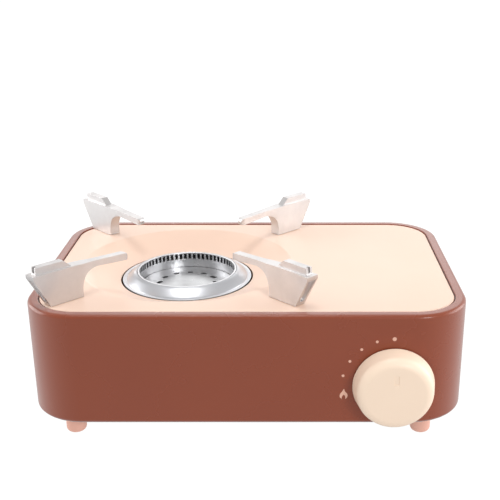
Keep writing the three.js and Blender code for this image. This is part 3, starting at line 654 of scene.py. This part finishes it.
def turned(name, outline, centre, steps=96, axis=(0, 0, 1), side=(1, 0, 0), closed=True):
    """Spins an outline of (radius, distance along the axis) points into a round piece."""
    centre, axis, side = Vector(centre), Vector(axis), Vector(side)
    places = [centre + side * radius + axis * along for radius, along in outline]
    if closed:
        places.append(places[0])
    piece = one_point(name, places[0])
    for here, there in zip(places, places[1:]):
        push(*(there - here))
    merge(drawing_merge)
    bpy.ops.mesh.spin(steps=steps, angle=2 * math.pi, center=centre, axis=axis)
    merge(drawing_merge)
    bpy.ops.mesh.normals_make_consistent(inside=False)
    done()
    return piece


def arc(middle_radius, middle_along, radius, start, end, steps):
    """Points on a rounding, from one angle to another in degrees, for an outline."""
    angles = [math.radians(start + (end - start) * i / steps) for i in range(steps + 1)]
    return [
        (middle_radius + radius * math.cos(a), middle_along + radius * math.sin(a)) for a in angles
    ]


foot_rubber = finish(
    "foot_rubber",
    light=(0.88, 0.48, 0.375),
    dark=(0.84, 0.455, 0.355),
    gloss=(0.5, 0.62),
    grains=1100,
    depth=0.00002,
    patches=60,
)
for corner in corners:
    low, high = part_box(f"foot_{corner}")
    middle = (low + high) / 2
    radius = (high.x - low.x) / 2
    rounding = arc(radius - foot_round, foot_round, foot_round, -90, 0, 8)
    outline = [(0, 0), *rounding, (radius, high.z), (0, high.z)]
    foot = turned(f"rubber_foot_{corner}", outline, (middle.x, middle.y, 0), 64, closed=False)
    soften(foot, 0.0004)
    install(foot, "body", foot_rubber, "foot_rubber", f"foot_{corner}")


# ---- Screws ----
# Zinc-plated hexagon screws with a cross recess, rolled from wire. Large ones hold the feet and
# the pot supports, and small ones hold the pan, the brackets and the gas train.

# shares of the head's radius and height, and of the shank's radius
crown_inset = 0.22
crown_rise = 0.08
recess_half = 0.5
recess_half_width = 0.09
recess_floor = 0.55
head_break = 0.06
thread_pitch = 0.45
thread_root = 0.82
shank_end = 0.6
head_share = 0.92  # of the height that the CAD gives the head
screw_steel = finish(
    "screw_steel",
    light=(0.60, 0.60, 0.61),
    dark=(0.50, 0.50, 0.52),
    gloss=(0.22, 0.34),
    grains=2500,
    depth=0.000004,
    patches=300,
    metal=1.0,
)


def screw_model(name, head_radius, head_height, shank_radius, length):
    """A screw standing on its head's underside at the origin, its shank going down."""
    bpy.ops.object.select_all(action="DESELECT")
    bpy.ops.mesh.primitive_cylinder_add(
        vertices=6,
        radius=head_radius,
        depth=head_height,
        location=(0, 0, head_height / 2),
        rotation=(0, 0, math.pi / 2),
    )
    head = bpy.context.object
    bpy.ops.object.transform_apply(location=True, rotation=True, scale=True)
    edit(head)
    pick("FACE", lambda f: f.normal.z > 0.9)
    bpy.ops.mesh.inset(thickness=head_radius * crown_inset)
    bpy.ops.transform.translate(value=(0, 0, head_height * crown_rise))
    done()
    for turn in (0, math.pi / 2):
        bar = block(
            "recess",
            (
                -head_radius * recess_half,
                -head_radius * recess_half_width,
                head_height * recess_floor,
            ),
            (head_radius * recess_half, head_radius * recess_half_width, head_height * 2),
        )
        bar.rotation_euler.z = turn
        take(bar)
        bpy.ops.object.transform_apply(location=False, rotation=True, scale=False)
        cut(head, bar)
    soften(head, head_height * head_break)
    pitch = shank_radius * thread_pitch
    turns = int(length / pitch)
    thread = [(0, 0)]
    for i in range(turns):
        thread.append((shank_radius, -i * pitch))
        thread.append((shank_radius * thread_root, -(i + 0.5) * pitch))
    thread += [(shank_radius * shank_end, -length), (0, -length)]
    shank = turned("shank", thread, (0, 0, 0), 20, closed=False)
    soften(shank, 0, angle=50)
    join(head, shank)
    head.name = name
    return head


def fit_screw(node, name, body, sizes, upward):
    """Makes the screw that the CAD node stands for, at its place, head up or down."""
    low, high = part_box(node)
    middle = (low + high) / 2
    head_radius, head_height, shank_radius = sizes
    length = high.z - low.z - head_height
    made = screw_model(name, head_radius, head_height * head_share, shank_radius, length)
    made.location = (middle.x, middle.y, high.z - head_height if upward else low.z + head_height)
    made.rotation_euler = (0 if upward else math.pi, 0, 0)
    install(made, body, screw_steel, "screw_steel", node)


# head radius, head height, shank radius
large_screw = (0.004, 0.0025, 0.002)
small_screw = (0.003, 0.002, 0.0015)
for corner in corners:
    fit_screw(f"foot_screw_{corner}", f"foot_bolt_{corner}", "body", large_screw, True)
    fit_screw(f"pan_screw_{corner}", f"pan_bolt_{corner}", "body", small_screw, False)
for part, sides in {
    "bracket": ("left", "right"),
    "regulator": ("left", "right"),
    "cradle": ("front", "back"),
    "shield": ("front", "back"),
}.items():
    for side in sides:
        fit_screw(f"{part}_screw_{side}", f"{part}_bolt_{side}", "body", small_screw, True)


# ---- Burner bracket, cup and mixing tube ----
# A folded zinc-plated bridge carries a cast cup under the burner, and a bent tube leads gas and
# air into the cup. Dish and plate hide them, until the plate is lifted off.
cup_aluminium = finish(
    "cup_aluminium",
    light=(0.50, 0.50, 0.50),
    dark=(0.40, 0.40, 0.41),
    gloss=(0.42, 0.56),
    grains=900,
    depth=0.00004,
    patches=120,
    metal=1.0,
)
for node, name, width, material, slot in (
    ("burner_bracket", "burner_bracket_plated", 0.0003, zinc_sheet, "zinc_sheet"),
    ("burner_cup", "burner_cup_cast", 0.0004, cup_aluminium, "cup_aluminium"),
    ("mixing_tube", "mixing_tube_plated", 0.0002, zinc_sheet, "zinc_sheet"),
):
    install(close_copy(node, name, width), "body", material, slot, node)


# ---- Burner ring ----
# A turned aluminium ring with sixty-four flame slots that fire inwards, under a thin unbroken lip.
# It stands in the cup's groove and the dish closes round it.
ring_low, ring_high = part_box("burner_ring")
burner_axis = Vector(((ring_low.x + ring_high.x) / 2, (ring_low.y + ring_high.y) / 2, 0))
ring_outer = (ring_high.x - ring_low.x) / 2
ring_wall = 0.0015
slot_count = 64
slot_width = 0.0022
slot_height = 0.0048
lip_over_slots = 0.0009
ring_break = 0.00018


def lathe_group():
    """Fine rings left by spinning or turning a piece round the vertical through its centre."""
    group = bpy.data.node_groups.new("lathe_rings", "ShaderNodeTree")
    tree = group.interface
    tree.new_socket("Vector", in_out="INPUT", socket_type="NodeSocketVector")
    tree.new_socket("Height", in_out="OUTPUT", socket_type="NodeSocketFloat")
    inside = group.nodes.new("NodeGroupInput")
    outside = group.nodes.new("NodeGroupOutput")
    split = group.nodes.new("ShaderNodeSeparateXYZ")
    flat = group.nodes.new("ShaderNodeCombineXYZ")
    reach = group.nodes.new("ShaderNodeVectorMath")
    reach.operation = "LENGTH"
    line = group.nodes.new("ShaderNodeCombineXYZ")
    rings = group.nodes.new("ShaderNodeTexNoise")
    rings.inputs["Scale"].default_value = 1600
    rings.inputs["Detail"].default_value = 2
    link = group.links.new
    link(inside.outputs["Vector"], split.inputs["Vector"])
    link(split.outputs["X"], flat.inputs["X"])
    link(split.outputs["Y"], flat.inputs["Y"])
    link(flat.outputs["Vector"], reach.inputs[0])
    link(reach.outputs["Value"], line.inputs["X"])
    link(split.outputs["Z"], line.inputs["Z"])
    link(line.outputs["Vector"], rings.inputs["Vector"])
    link(rings.outputs["Fac"], outside.inputs["Height"])
    return group


lathe_rings = lathe_group()
ring_aluminium = finish(
    "ring_aluminium",
    light=(0.74, 0.74, 0.75),
    dark=(0.66, 0.66, 0.68),
    gloss=(0.26, 0.36),
    grains=2500,
    depth=0.000006,
    patches=90,
    metal=1.0,
    relief=(lathe_rings, -burner_axis, 1.5),
)


def slotted_ring():
    """One slot's share of the wall, repeated round the axis and given its thickness."""
    sector = 2 * math.pi / slot_count
    slot = slot_width / (ring_outer - ring_wall)
    levels = [
        ring_low.z,
        ring_high.z - lip_over_slots - slot_height,
        ring_high.z - lip_over_slots,
        ring_high.z,
    ]
    start = burner_axis + Vector((ring_outer, 0, levels[0]))
    piece = one_point("burner_ring_slotted", start)
    for here, there in zip(levels, levels[1:]):
        push(z=there - here)
    bpy.ops.mesh.select_all(action="SELECT")
    for part in ((sector - slot) / 2, slot, (sector - slot) / 2):
        bpy.ops.mesh.spin(steps=1, angle=part, center=burner_axis, axis=(0, 0, 1))
    middle = (levels[1] + levels[2]) / 2

    def is_slot(face):
        place = face.calc_center_median() - burner_axis
        angle = abs(math.atan2(place.y, place.x))
        return abs(place.z - middle) < slot_height / 4 and abs(angle - sector / 2) < slot / 4

    pick("FACE", is_slot)
    bpy.ops.mesh.delete(type="FACE")
    bpy.ops.mesh.select_mode(type="VERT")
    bpy.ops.mesh.select_all(action="SELECT")
    bpy.ops.mesh.spin(
        steps=slot_count - 1,
        angle=sector * (slot_count - 1),
        center=burner_axis,
        axis=(0, 0, 1),
        dupli=True,
    )
    merge(merge_distance)
    bpy.ops.mesh.normals_make_consistent(inside=False)
    done()
    work(piece, "SOLIDIFY", thickness=ring_wall, offset=-1, use_even_offset=True)
    soften(piece, ring_break)
    return piece


install(slotted_ring(), "body", ring_aluminium, "ring_aluminium", "burner_ring")


# ---- Burner floor ----
# A pressed stainless disc that rests inside the ring, crowned in the middle to stiffen it. A ring
# of punched holes lets air up into the flame.
floor_low, floor_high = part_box("burner_floor")
floor_radius = (floor_high.x - floor_low.x) / 2
floor_sheet = 0.001
floor_crown = 0.002
floor_rise = floor_low.z
crown_start, crown_run = 0.35, 0.45  # shares of the radius over which the crown falls away
air_holes = 12
air_hole_radius = 0.0025
air_hole_ring = floor_radius * 0.6
burner_steel = finish(
    "burner_steel",
    light=(0.60, 0.61, 0.62),
    dark=(0.48, 0.48, 0.49),
    gloss=(0.26, 0.4),
    grains=2200,
    depth=0.000008,
    patches=70,
    metal=1.0,
    relief=(lathe_rings, -burner_axis, 1.2),
)
crown_line = []
for i in range(13):
    t = i / 12
    ease = min(max((t - crown_start) / crown_run, 0), 1)
    crown = floor_crown * (1 - ease * ease * (3 - 2 * ease))
    crown_line.append((floor_radius * t, floor_rise + floor_sheet + crown))
burner_floor = turned("burner_floor_pressed", crown_line, burner_axis, 96, closed=False)
edit(burner_floor)
pick("FACE", lambda f: True)
if sum(f.normal.z for f in bmesh.from_edit_mesh(burner_floor.data).faces) < 0:
    bpy.ops.mesh.flip_normals()
done()
work(burner_floor, "SOLIDIFY", thickness=floor_sheet, offset=-1, use_even_offset=True)
bpy.ops.object.select_all(action="DESELECT")
bpy.ops.mesh.primitive_cylinder_add(
    vertices=24,
    radius=air_hole_radius,
    depth=0.02,
    location=(burner_axis.x + air_hole_ring, burner_axis.y, floor_rise),
)
bpy.ops.object.transform_apply(location=True, rotation=True, scale=True)
punch = bpy.context.object
edit(punch)
bpy.ops.mesh.select_all(action="SELECT")
bpy.ops.mesh.spin(
    steps=air_holes - 1,
    angle=2 * math.pi * (air_holes - 1) / air_holes,
    center=burner_axis,
    axis=(0, 0, 1),
    dupli=True,
)
done()
cut(burner_floor, punch)
soften(burner_floor, 0.00015)
install(burner_floor, "body", burner_steel, "burner_steel", "burner_floor")


# ---- Burner dish ----
# A bright spun-steel collar that rises from a flat rim to the burner's lip, where it closes round
# the ring. It keeps spills out of the burner.
dish_low, dish_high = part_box("burner_dish")
rim_tuck = 0.0004  # how far the turned rim ends inside the plate's hole
ring_gap = 0.0003
dish_outer = (dish_high.x - dish_low.x) / 2 - rim_tuck
dish_lip = ring_outer + ring_gap
dish_sheet = 0.0008
rim_flat = 0.0027
rim_drop = 0.0123  # below the top of the shell
rim_level = shell_high.z - rim_drop
dish_lip_level = dish_high.z
bright_steel = finish(
    "bright_steel",
    light=(0.70, 0.71, 0.74),
    dark=(0.66, 0.67, 0.70),
    gloss=(0.28, 0.36),
    grains=3000,
    depth=0.000002,
    patches=60,
    metal=1.0,
    relief=(lathe_rings, -burner_axis, 2.0),
)
rim_in = dish_outer - rim_flat
# from the rim's edge over a small step, up the slope and round the lip
dish_top = [
    (dish_outer, rim_level - 0.0002),
    (dish_outer - 0.0003, rim_level),
    (rim_in + 0.0002, rim_level),
    (rim_in, rim_level - 0.0002),
    (rim_in - 0.0004, rim_level - 0.0001),
    (rim_in - 0.0009, rim_level + 0.0006),
    (rim_in - 0.0030, rim_level + 0.0022),
    (dish_lip + 0.0032, dish_lip_level - 0.0014),
    (dish_lip + 0.0016, dish_lip_level - 0.0006),
    (dish_lip + 0.0007, dish_lip_level - 0.0001),
    (dish_lip + 0.0002, dish_lip_level),
    (dish_lip, dish_lip_level - 0.0002),
]
dish_under = [
    (dish_lip, dish_lip_level - dish_sheet),
    (dish_lip + 0.0028, dish_lip_level - dish_sheet - 0.0016),
    (rim_in - 0.0012, rim_level - dish_sheet + 0.0002),
    (rim_in, rim_level - dish_sheet),
    (dish_outer, rim_level - dish_sheet),
]
burner_dish = turned("burner_dish_spun", dish_top + dish_under, burner_axis, 128)
soften(burner_dish, 0, angle=40)
install(burner_dish, "body", bright_steel, "bright_steel", "burner_dish")


# ---- Gas train ----
# A die-cast regulator block with its diaphragm cover, a brass jet and valve, and a magnet ring that
# holds the cartridge's collar against a rubber seal. A pin sets the cartridge the right way round.
regulator_zinc = finish(
    "regulator_zinc",
    light=(0.50, 0.51, 0.52),
    dark=(0.42, 0.43, 0.44),
    gloss=(0.4, 0.52),
    grains=1300,
    depth=0.00003,
    patches=150,
    metal=1.0,
)
brass = finish(
    "brass",
    light=(0.62, 0.43, 0.16),
    dark=(0.52, 0.35, 0.12),
    gloss=(0.22, 0.34),
    grains=2500,
    depth=0.000005,
    patches=200,
    metal=1.0,
)
magnet = finish(
    "magnet",
    light=(0.030, 0.030, 0.032),
    dark=(0.045, 0.045, 0.048),
    gloss=(0.5, 0.65),
    grains=2000,
    depth=0.00002,
    patches=200,
)
black_rubber = finish(
    "black_rubber",
    light=(0.020, 0.020, 0.020),
    dark=(0.032, 0.032, 0.032),
    gloss=(0.6, 0.75),
    grains=1500,
    depth=0.00003,
)
for node, name, width, material, slot in (
    ("regulator_body", "regulator_block", 0.0005, regulator_zinc, "regulator_zinc"),
    ("diaphragm_cover", "diaphragm_cap", 0.0003, zinc_sheet, "zinc_sheet"),
    ("gas_jet", "gas_jet_turned", 0.0002, brass, "brass"),
    ("valve_body", "valve_body_turned", 0.0003, brass, "brass"),
    ("valve_spindle", "valve_spindle_turned", 0.0001, brass, "brass"),
    ("magnet_ring", "magnet_ring_pressed", 0.0003, magnet, "magnet"),
    ("inlet_seal", "inlet_seal_moulded", 0.0002, black_rubber, "black_rubber"),
    ("guide_pin", "guide_pin_steel", 0.0001, screw_steel, "screw_steel"),
):
    body = "knob" if node == "valve_spindle" else "body"
    install(close_copy(node, name, width), body, material, slot, node)


# ---- Igniter ----
# A black plastic cam on the spindle pushes a steel plunger into the piezo body as the knob turns.
# The spark jumps from a bent pin, set in a glazed ceramic insulator, inside the burner ring.
black_plastic = finish(
    "black_plastic",
    light=(0.022, 0.022, 0.024),
    dark=(0.030, 0.030, 0.033),
    gloss=(0.42, 0.52),
    grains=1000,
    depth=0.00003,
)
ceramic = finish(
    "ceramic",
    light=(0.86, 0.84, 0.79),
    dark=(0.80, 0.78, 0.73),
    gloss=(0.12, 0.2),
    grains=700,
    depth=0.00001,
)
for node, name, width, material, slot, body in (
    ("igniter_cam", "igniter_cam_moulded", 0.0003, black_plastic, "black_plastic", "knob"),
    ("piezo_body", "piezo_case", 0.0004, black_plastic, "black_plastic", "body"),
    ("piezo_plunger", "piezo_plunger_steel", 0.0001, screw_steel, "screw_steel", "plunger"),
    ("electrode_insulator", "electrode_insulator_glazed", 0.0003, ceramic, "ceramic", "body"),
    ("electrode_pin", "electrode_pin_bent", 0.0001, screw_steel, "screw_steel", "body"),
):
    install(close_copy(node, name, width), body, material, slot, node)


# ---- Cartridge bay ----
# A folded cradle under the cartridge, and an upright heat shield between it and the burner. Both
# are bent from zinc-plated sheet and screwed to the pan.
for node, name, width in (
    ("cartridge_cradle", "cartridge_cradle_plated", 0.0003),
    ("heat_shield", "heat_shield_plated", 0.0002),
):
    install(close_copy(node, name, width), "body", zinc_sheet, "zinc_sheet", node)


# ---- Top plate ----
# A lift-off steel plate in a satin cream coat, turned down at its edge and pressed into a shallow
# dish round the burner. It lies inside the rim on four rubber pads, with an open joint all round.
plate_low, plate_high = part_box("top_plate")
plate_top = plate_high.z
plate_inset = shell_half.x - plate_high.x
plate_flange = 0.0065
dished_radius = 0.086
dished_depth = 0.0122
hole_radius = 0.0537
plate_edge_round = 0.0009
dish_steps = 22
dish_ease = 0.45  # how much of the fall is an even curve, the rest being straight
dish_brow = 0.10  # the share of the slope that is rounded at its top
cream_paint = finish(
    "cream_paint",
    light=(0.900, 0.655, 0.520),
    dark=(0.885, 0.640, 0.505),
    gloss=(0.34, 0.40),
    grains=800,
    depth=0.00001,
    patches=14,
)

dish_line = []
for i in range(dish_steps + 1):
    t = i / dish_steps
    fall = dish_ease * t * t * (3 - 2 * t) + (1 - dish_ease) * t
    if t < dish_brow:
        fall *= t / dish_brow * (2 - t / dish_brow)
    radius = dished_radius + (hole_radius - dished_radius) * t
    dish_line.append((radius, plate_top - dished_depth * fall))
top_plate = round_block(
    "top_plate_coated",
    (plate_low.x, plate_low.y, plate_top - plate_flange),
    (plate_high.x, plate_high.y, plate_top),
    corner_radius - plate_inset,
    16,
)
pick("FACE", lambda f: f.normal.z < -0.99)
bpy.ops.mesh.delete(type="FACE")
pick("EDGE", lambda e: all(v.co.z > plate_top - tiny for v in e.verts))
bpy.ops.mesh.bevel(offset=plate_edge_round, offset_pct=0, segments=4, affect="EDGES")
pick("FACE", lambda f: f.normal.z > 0.999 and len(f.verts) > 8)
bpy.ops.mesh.delete(type="ONLY_FACE")
done()
plate_dish = turned("plate_dish", dish_line, burner_axis, 144, closed=False)
join(top_plate, plate_dish)
edit(top_plate)
pick("EDGE", lambda e: e.is_boundary and all(abs(v.co.z - plate_top) < tiny for v in e.verts))
bpy.ops.mesh.fill(use_beauty=True)
merge(merge_distance)
bpy.ops.mesh.normals_make_consistent(inside=False)
if sum(f.normal.z * f.calc_area() for f in bmesh.from_edit_mesh(top_plate.data).faces) < 0:
    bpy.ops.mesh.flip_normals()
done()
work(top_plate, "SOLIDIFY", thickness=sheet, offset=-1, use_even_offset=True)
soften(top_plate, 0, angle=30)
install(top_plate, "lid", cream_paint, "cream_paint", "top_plate")

for corner in corners:
    install(
        close_copy(f"plate_pad_{corner}", f"plate_pad_{corner}_moulded", 0.0006),
        "lid",
        black_rubber,
        "black_rubber",
        f"plate_pad_{corner}",
    )


# ---- Pot supports ----
# Four die-cast aluminium arms, blasted to a satin silver and screwed to the plate from below.
# Each has a slim arm over the flame, a raised rib for wide pans, and a scooped outer end.
cast_aluminium = finish(
    "cast_aluminium",
    light=(0.71, 0.69, 0.685),
    dark=(0.65, 0.63, 0.625),
    gloss=(0.36, 0.44),
    grains=2200,
    depth=0.000010,
    patches=80,
    metal=1.0,
)


def cut_out(name, outline, along):
    """A flat outline of points, filled and given depth."""
    places = [Vector(p) for p in outline]
    along = Vector(along)
    piece = one_point(name, places[0])
    for here, there in zip(places, places[1:] + places[:1]):
        push(*(there - here))
    merge(drawing_merge)
    bpy.ops.mesh.edge_face_add()
    bpy.ops.mesh.extrude_region_move(TRANSFORM_OT_translate={"value": along})
    bpy.ops.mesh.select_all(action="SELECT")
    bpy.ops.mesh.normals_make_consistent(inside=False)
    done()
    return piece


def pot_support():
    """One support lying along +X from the burner's axis, standing on z = 0. Sizes are in mm."""
    mm = 0.001
    tip, reach, stem_in, stem_out = 58.5, 140, 100.8, 128
    arm_top, tip_top, thick = 25.5, 23.5, 5.6
    arm_end = 107  # where the tapering arm meets the level top
    web, web_foot = 15, 4  # the curve from the arm's underside into the stem
    side = [(stem_out, 0), (reach, arm_top - 3), (reach, arm_top), (arm_end, arm_top)]
    side += [(tip + 2.5, tip_top), (tip + 0.7, tip_top - 0.7), (tip, tip_top - 2.2)]
    side += [(tip + 0.4, tip_top - thick + 0.9), (tip + 1.4, tip_top - thick)]
    underside = arm_top - thick
    for i in range(11):
        t = i / 10
        x = (1 - t) ** 2 * (stem_in - web) + 2 * t * (1 - t) * stem_in + t * t * stem_in
        z = (1 - t) ** 2 * underside + 2 * t * (1 - t) * underside + t * t * web_foot
        side.append((x, z))
    side.append((stem_in, 0))
    support = cut_out("support", [(x * mm, -0.008, z * mm) for x, z in side], (0, 0.016, 0))

    # seen from above: a rounded tip, a slim arm and a stem that widens outwards
    plan = [(tip - 0.5, 0.8), (tip + 0.1, 1.9), (tip + 1.2, 2.8), (tip + 2.8, 3.3)]
    plan += [(stem_in - 14, 3.3), (stem_in - 2, 4.6), (stem_out, 4.7), (reach + 1, 5.6)]
    plan += [(x, -y) for x, y in reversed(plan)]
    outline = cut_out("plan", [(x * mm, y * mm, -0.001) for x, y in plan], (0, 0, 0.04))
    work(support, "BOOLEAN", operation="INTERSECT", object=outline, solver="EXACT")
    bpy.data.objects.remove(outline)

    rib_out, rib_top, rib_half = 137, 31, 3.0
    rib_side = [(arm_end, arm_top - 1), (rib_out, arm_top - 1)]
    rib_side += [(rib_out - 0.4, rib_top), (arm_end + 7, rib_top)]
    rib_outline = [(x * mm, -rib_half * mm, z * mm) for x, z in rib_side]
    rib = cut_out("rib", rib_outline, (0, 2 * rib_half * mm, 0))
    work(support, "BOOLEAN", operation="UNION", object=rib, solver="EXACT")
    bpy.data.objects.remove(rib)
    slot_in, slot_out, slot_half, slot_floor = 0.1345, 0.1390, 0.0010, 0.0268
    rib_slot = block("slot", (slot_in, -slot_half, slot_floor), (slot_out, slot_half, 0.040))
    cut(support, rib_slot)

    # the scoop in the outer end follows its slope
    scoop_low, scoop_high = Vector((0.1290, 0, 0.0035)), Vector((0.1393, 0, 0.0222))
    scoop_low_radius, scoop_high_radius, scoop_nose = 0.0023, 0.0042, 0.0015
    lean = math.atan2(scoop_high.x - scoop_low.x, scoop_high.z - scoop_low.z)
    bpy.ops.object.select_all(action="DESELECT")
    bpy.ops.mesh.primitive_cone_add(
        vertices=48,
        radius1=scoop_low_radius,
        radius2=scoop_high_radius,
        depth=(scoop_high - scoop_low).length,
        location=(scoop_low + scoop_high) / 2,
        rotation=(0, lean, 0),
    )
    scoop = bpy.context.object
    bpy.ops.object.transform_apply(location=True, rotation=True, scale=True)
    edit(scoop)
    near_low_end = scoop_low_radius + 0.0001
    pick("EDGE", lambda e: all((v.co - scoop_low).length < near_low_end for v in e.verts))
    bpy.ops.mesh.bevel(offset=scoop_nose, offset_pct=0, segments=4, affect="EDGES")
    done()
    cut(support, scoop)
    soften(support, width=0.0007, steps=3, angle=32)
    return support


support_turns = {"front_right": -45, "front_left": -135, "back_left": 135, "back_right": 45}
support_gap = 0.0003  # the coat under a support
support_level = plate_top + support_gap
first_support = pot_support()
for corner, angle in support_turns.items():
    support = first_support.copy()
    support.data = first_support.data.copy()
    support.name = f"pot_support_{corner}_cast"
    bpy.context.scene.collection.objects.link(support)
    support.location = (burner_axis.x, burner_axis.y, support_level)
    support.rotation_euler = (0, 0, math.radians(angle))
    install(support, "lid", cast_aluminium, "cast_aluminium", f"pot_support_{corner}")
    fit_screw(f"support_screw_{corner}", f"support_bolt_{corner}", "lid", large_screw, False)
bpy.data.objects.remove(first_support)


# ---- Knob ----
# A hollow cap moulded in satin cream plastic, with a broad rounding and a shallow pointer in its
# face. Its hub slides onto the valve spindle and a spring clip grips it.
knob_face = knob_low.y
knob_back = knob_high.y
knob_radius = (knob_high.x - knob_low.x) / 2
knob_taper = 0.0017
front_radius = knob_radius - knob_taper
knob_round = 0.007
knob_wall = 0.002
face_wall = 0.003
skirt_break = 0.0003
knob_depth = knob_back - knob_face
hub_radius = 0.006
hub_bore = 0.0033
hub_inset = 0.002  # how far the hub ends short of the skirt
bore_floor = 0.0052
pointer_half_width = 0.0019
pointer_depth = 0.0004
pointer_low, pointer_high = 0.0086, 0.0156  # above the knob's axis
knob_plastic = finish(
    "knob_plastic",
    light=(0.98, 0.785, 0.615),
    dark=(0.965, 0.765, 0.600),
    gloss=(0.38, 0.46),
    grains=900,
    depth=0.000012,
    patches=20,
)
knob_outline = [
    (0, 0),
    *arc(front_radius - knob_round, knob_round, knob_round, -90, 0, 14),
    (knob_radius, knob_depth - skirt_break),
    (knob_radius - skirt_break, knob_depth),
    (knob_radius - knob_wall, knob_depth),
    (front_radius - knob_wall, knob_round),
    (front_radius - knob_round, face_wall),
    (hub_radius, face_wall),
    (hub_radius, knob_depth - hub_inset),
    (hub_bore, knob_depth - hub_inset),
    (hub_bore, bore_floor),
    (0, bore_floor),
]
knob_cap = turned(
    "knob_cap",
    knob_outline,
    (knob_axis.x, knob_face, knob_axis.z),
    128,
    axis=(0, 1, 0),
    closed=False,
)
pointer = block(
    "pointer",
    (knob_axis.x - pointer_half_width, knob_face - 0.001, knob_axis.z + pointer_low),
    (knob_axis.x + pointer_half_width, knob_face + pointer_depth, knob_axis.z + pointer_high),
)
soften(pointer, 0.0003)
cut(knob_cap, pointer)
soften(knob_cap, 0, angle=35)
install(knob_cap, "knob", knob_plastic, "knob_plastic", "knob")

spring_steel = finish(
    "spring_steel",
    light=(0.66, 0.66, 0.67),
    dark=(0.58, 0.58, 0.60),
    gloss=(0.18, 0.26),
    grains=2500,
    depth=0.000003,
    patches=200,
    metal=1.0,
)
knob_clip = close_copy("knob_clip", "knob_clip_sprung", 0.0001)
install(knob_clip, "knob", spring_steel, "spring_steel", "knob_clip")
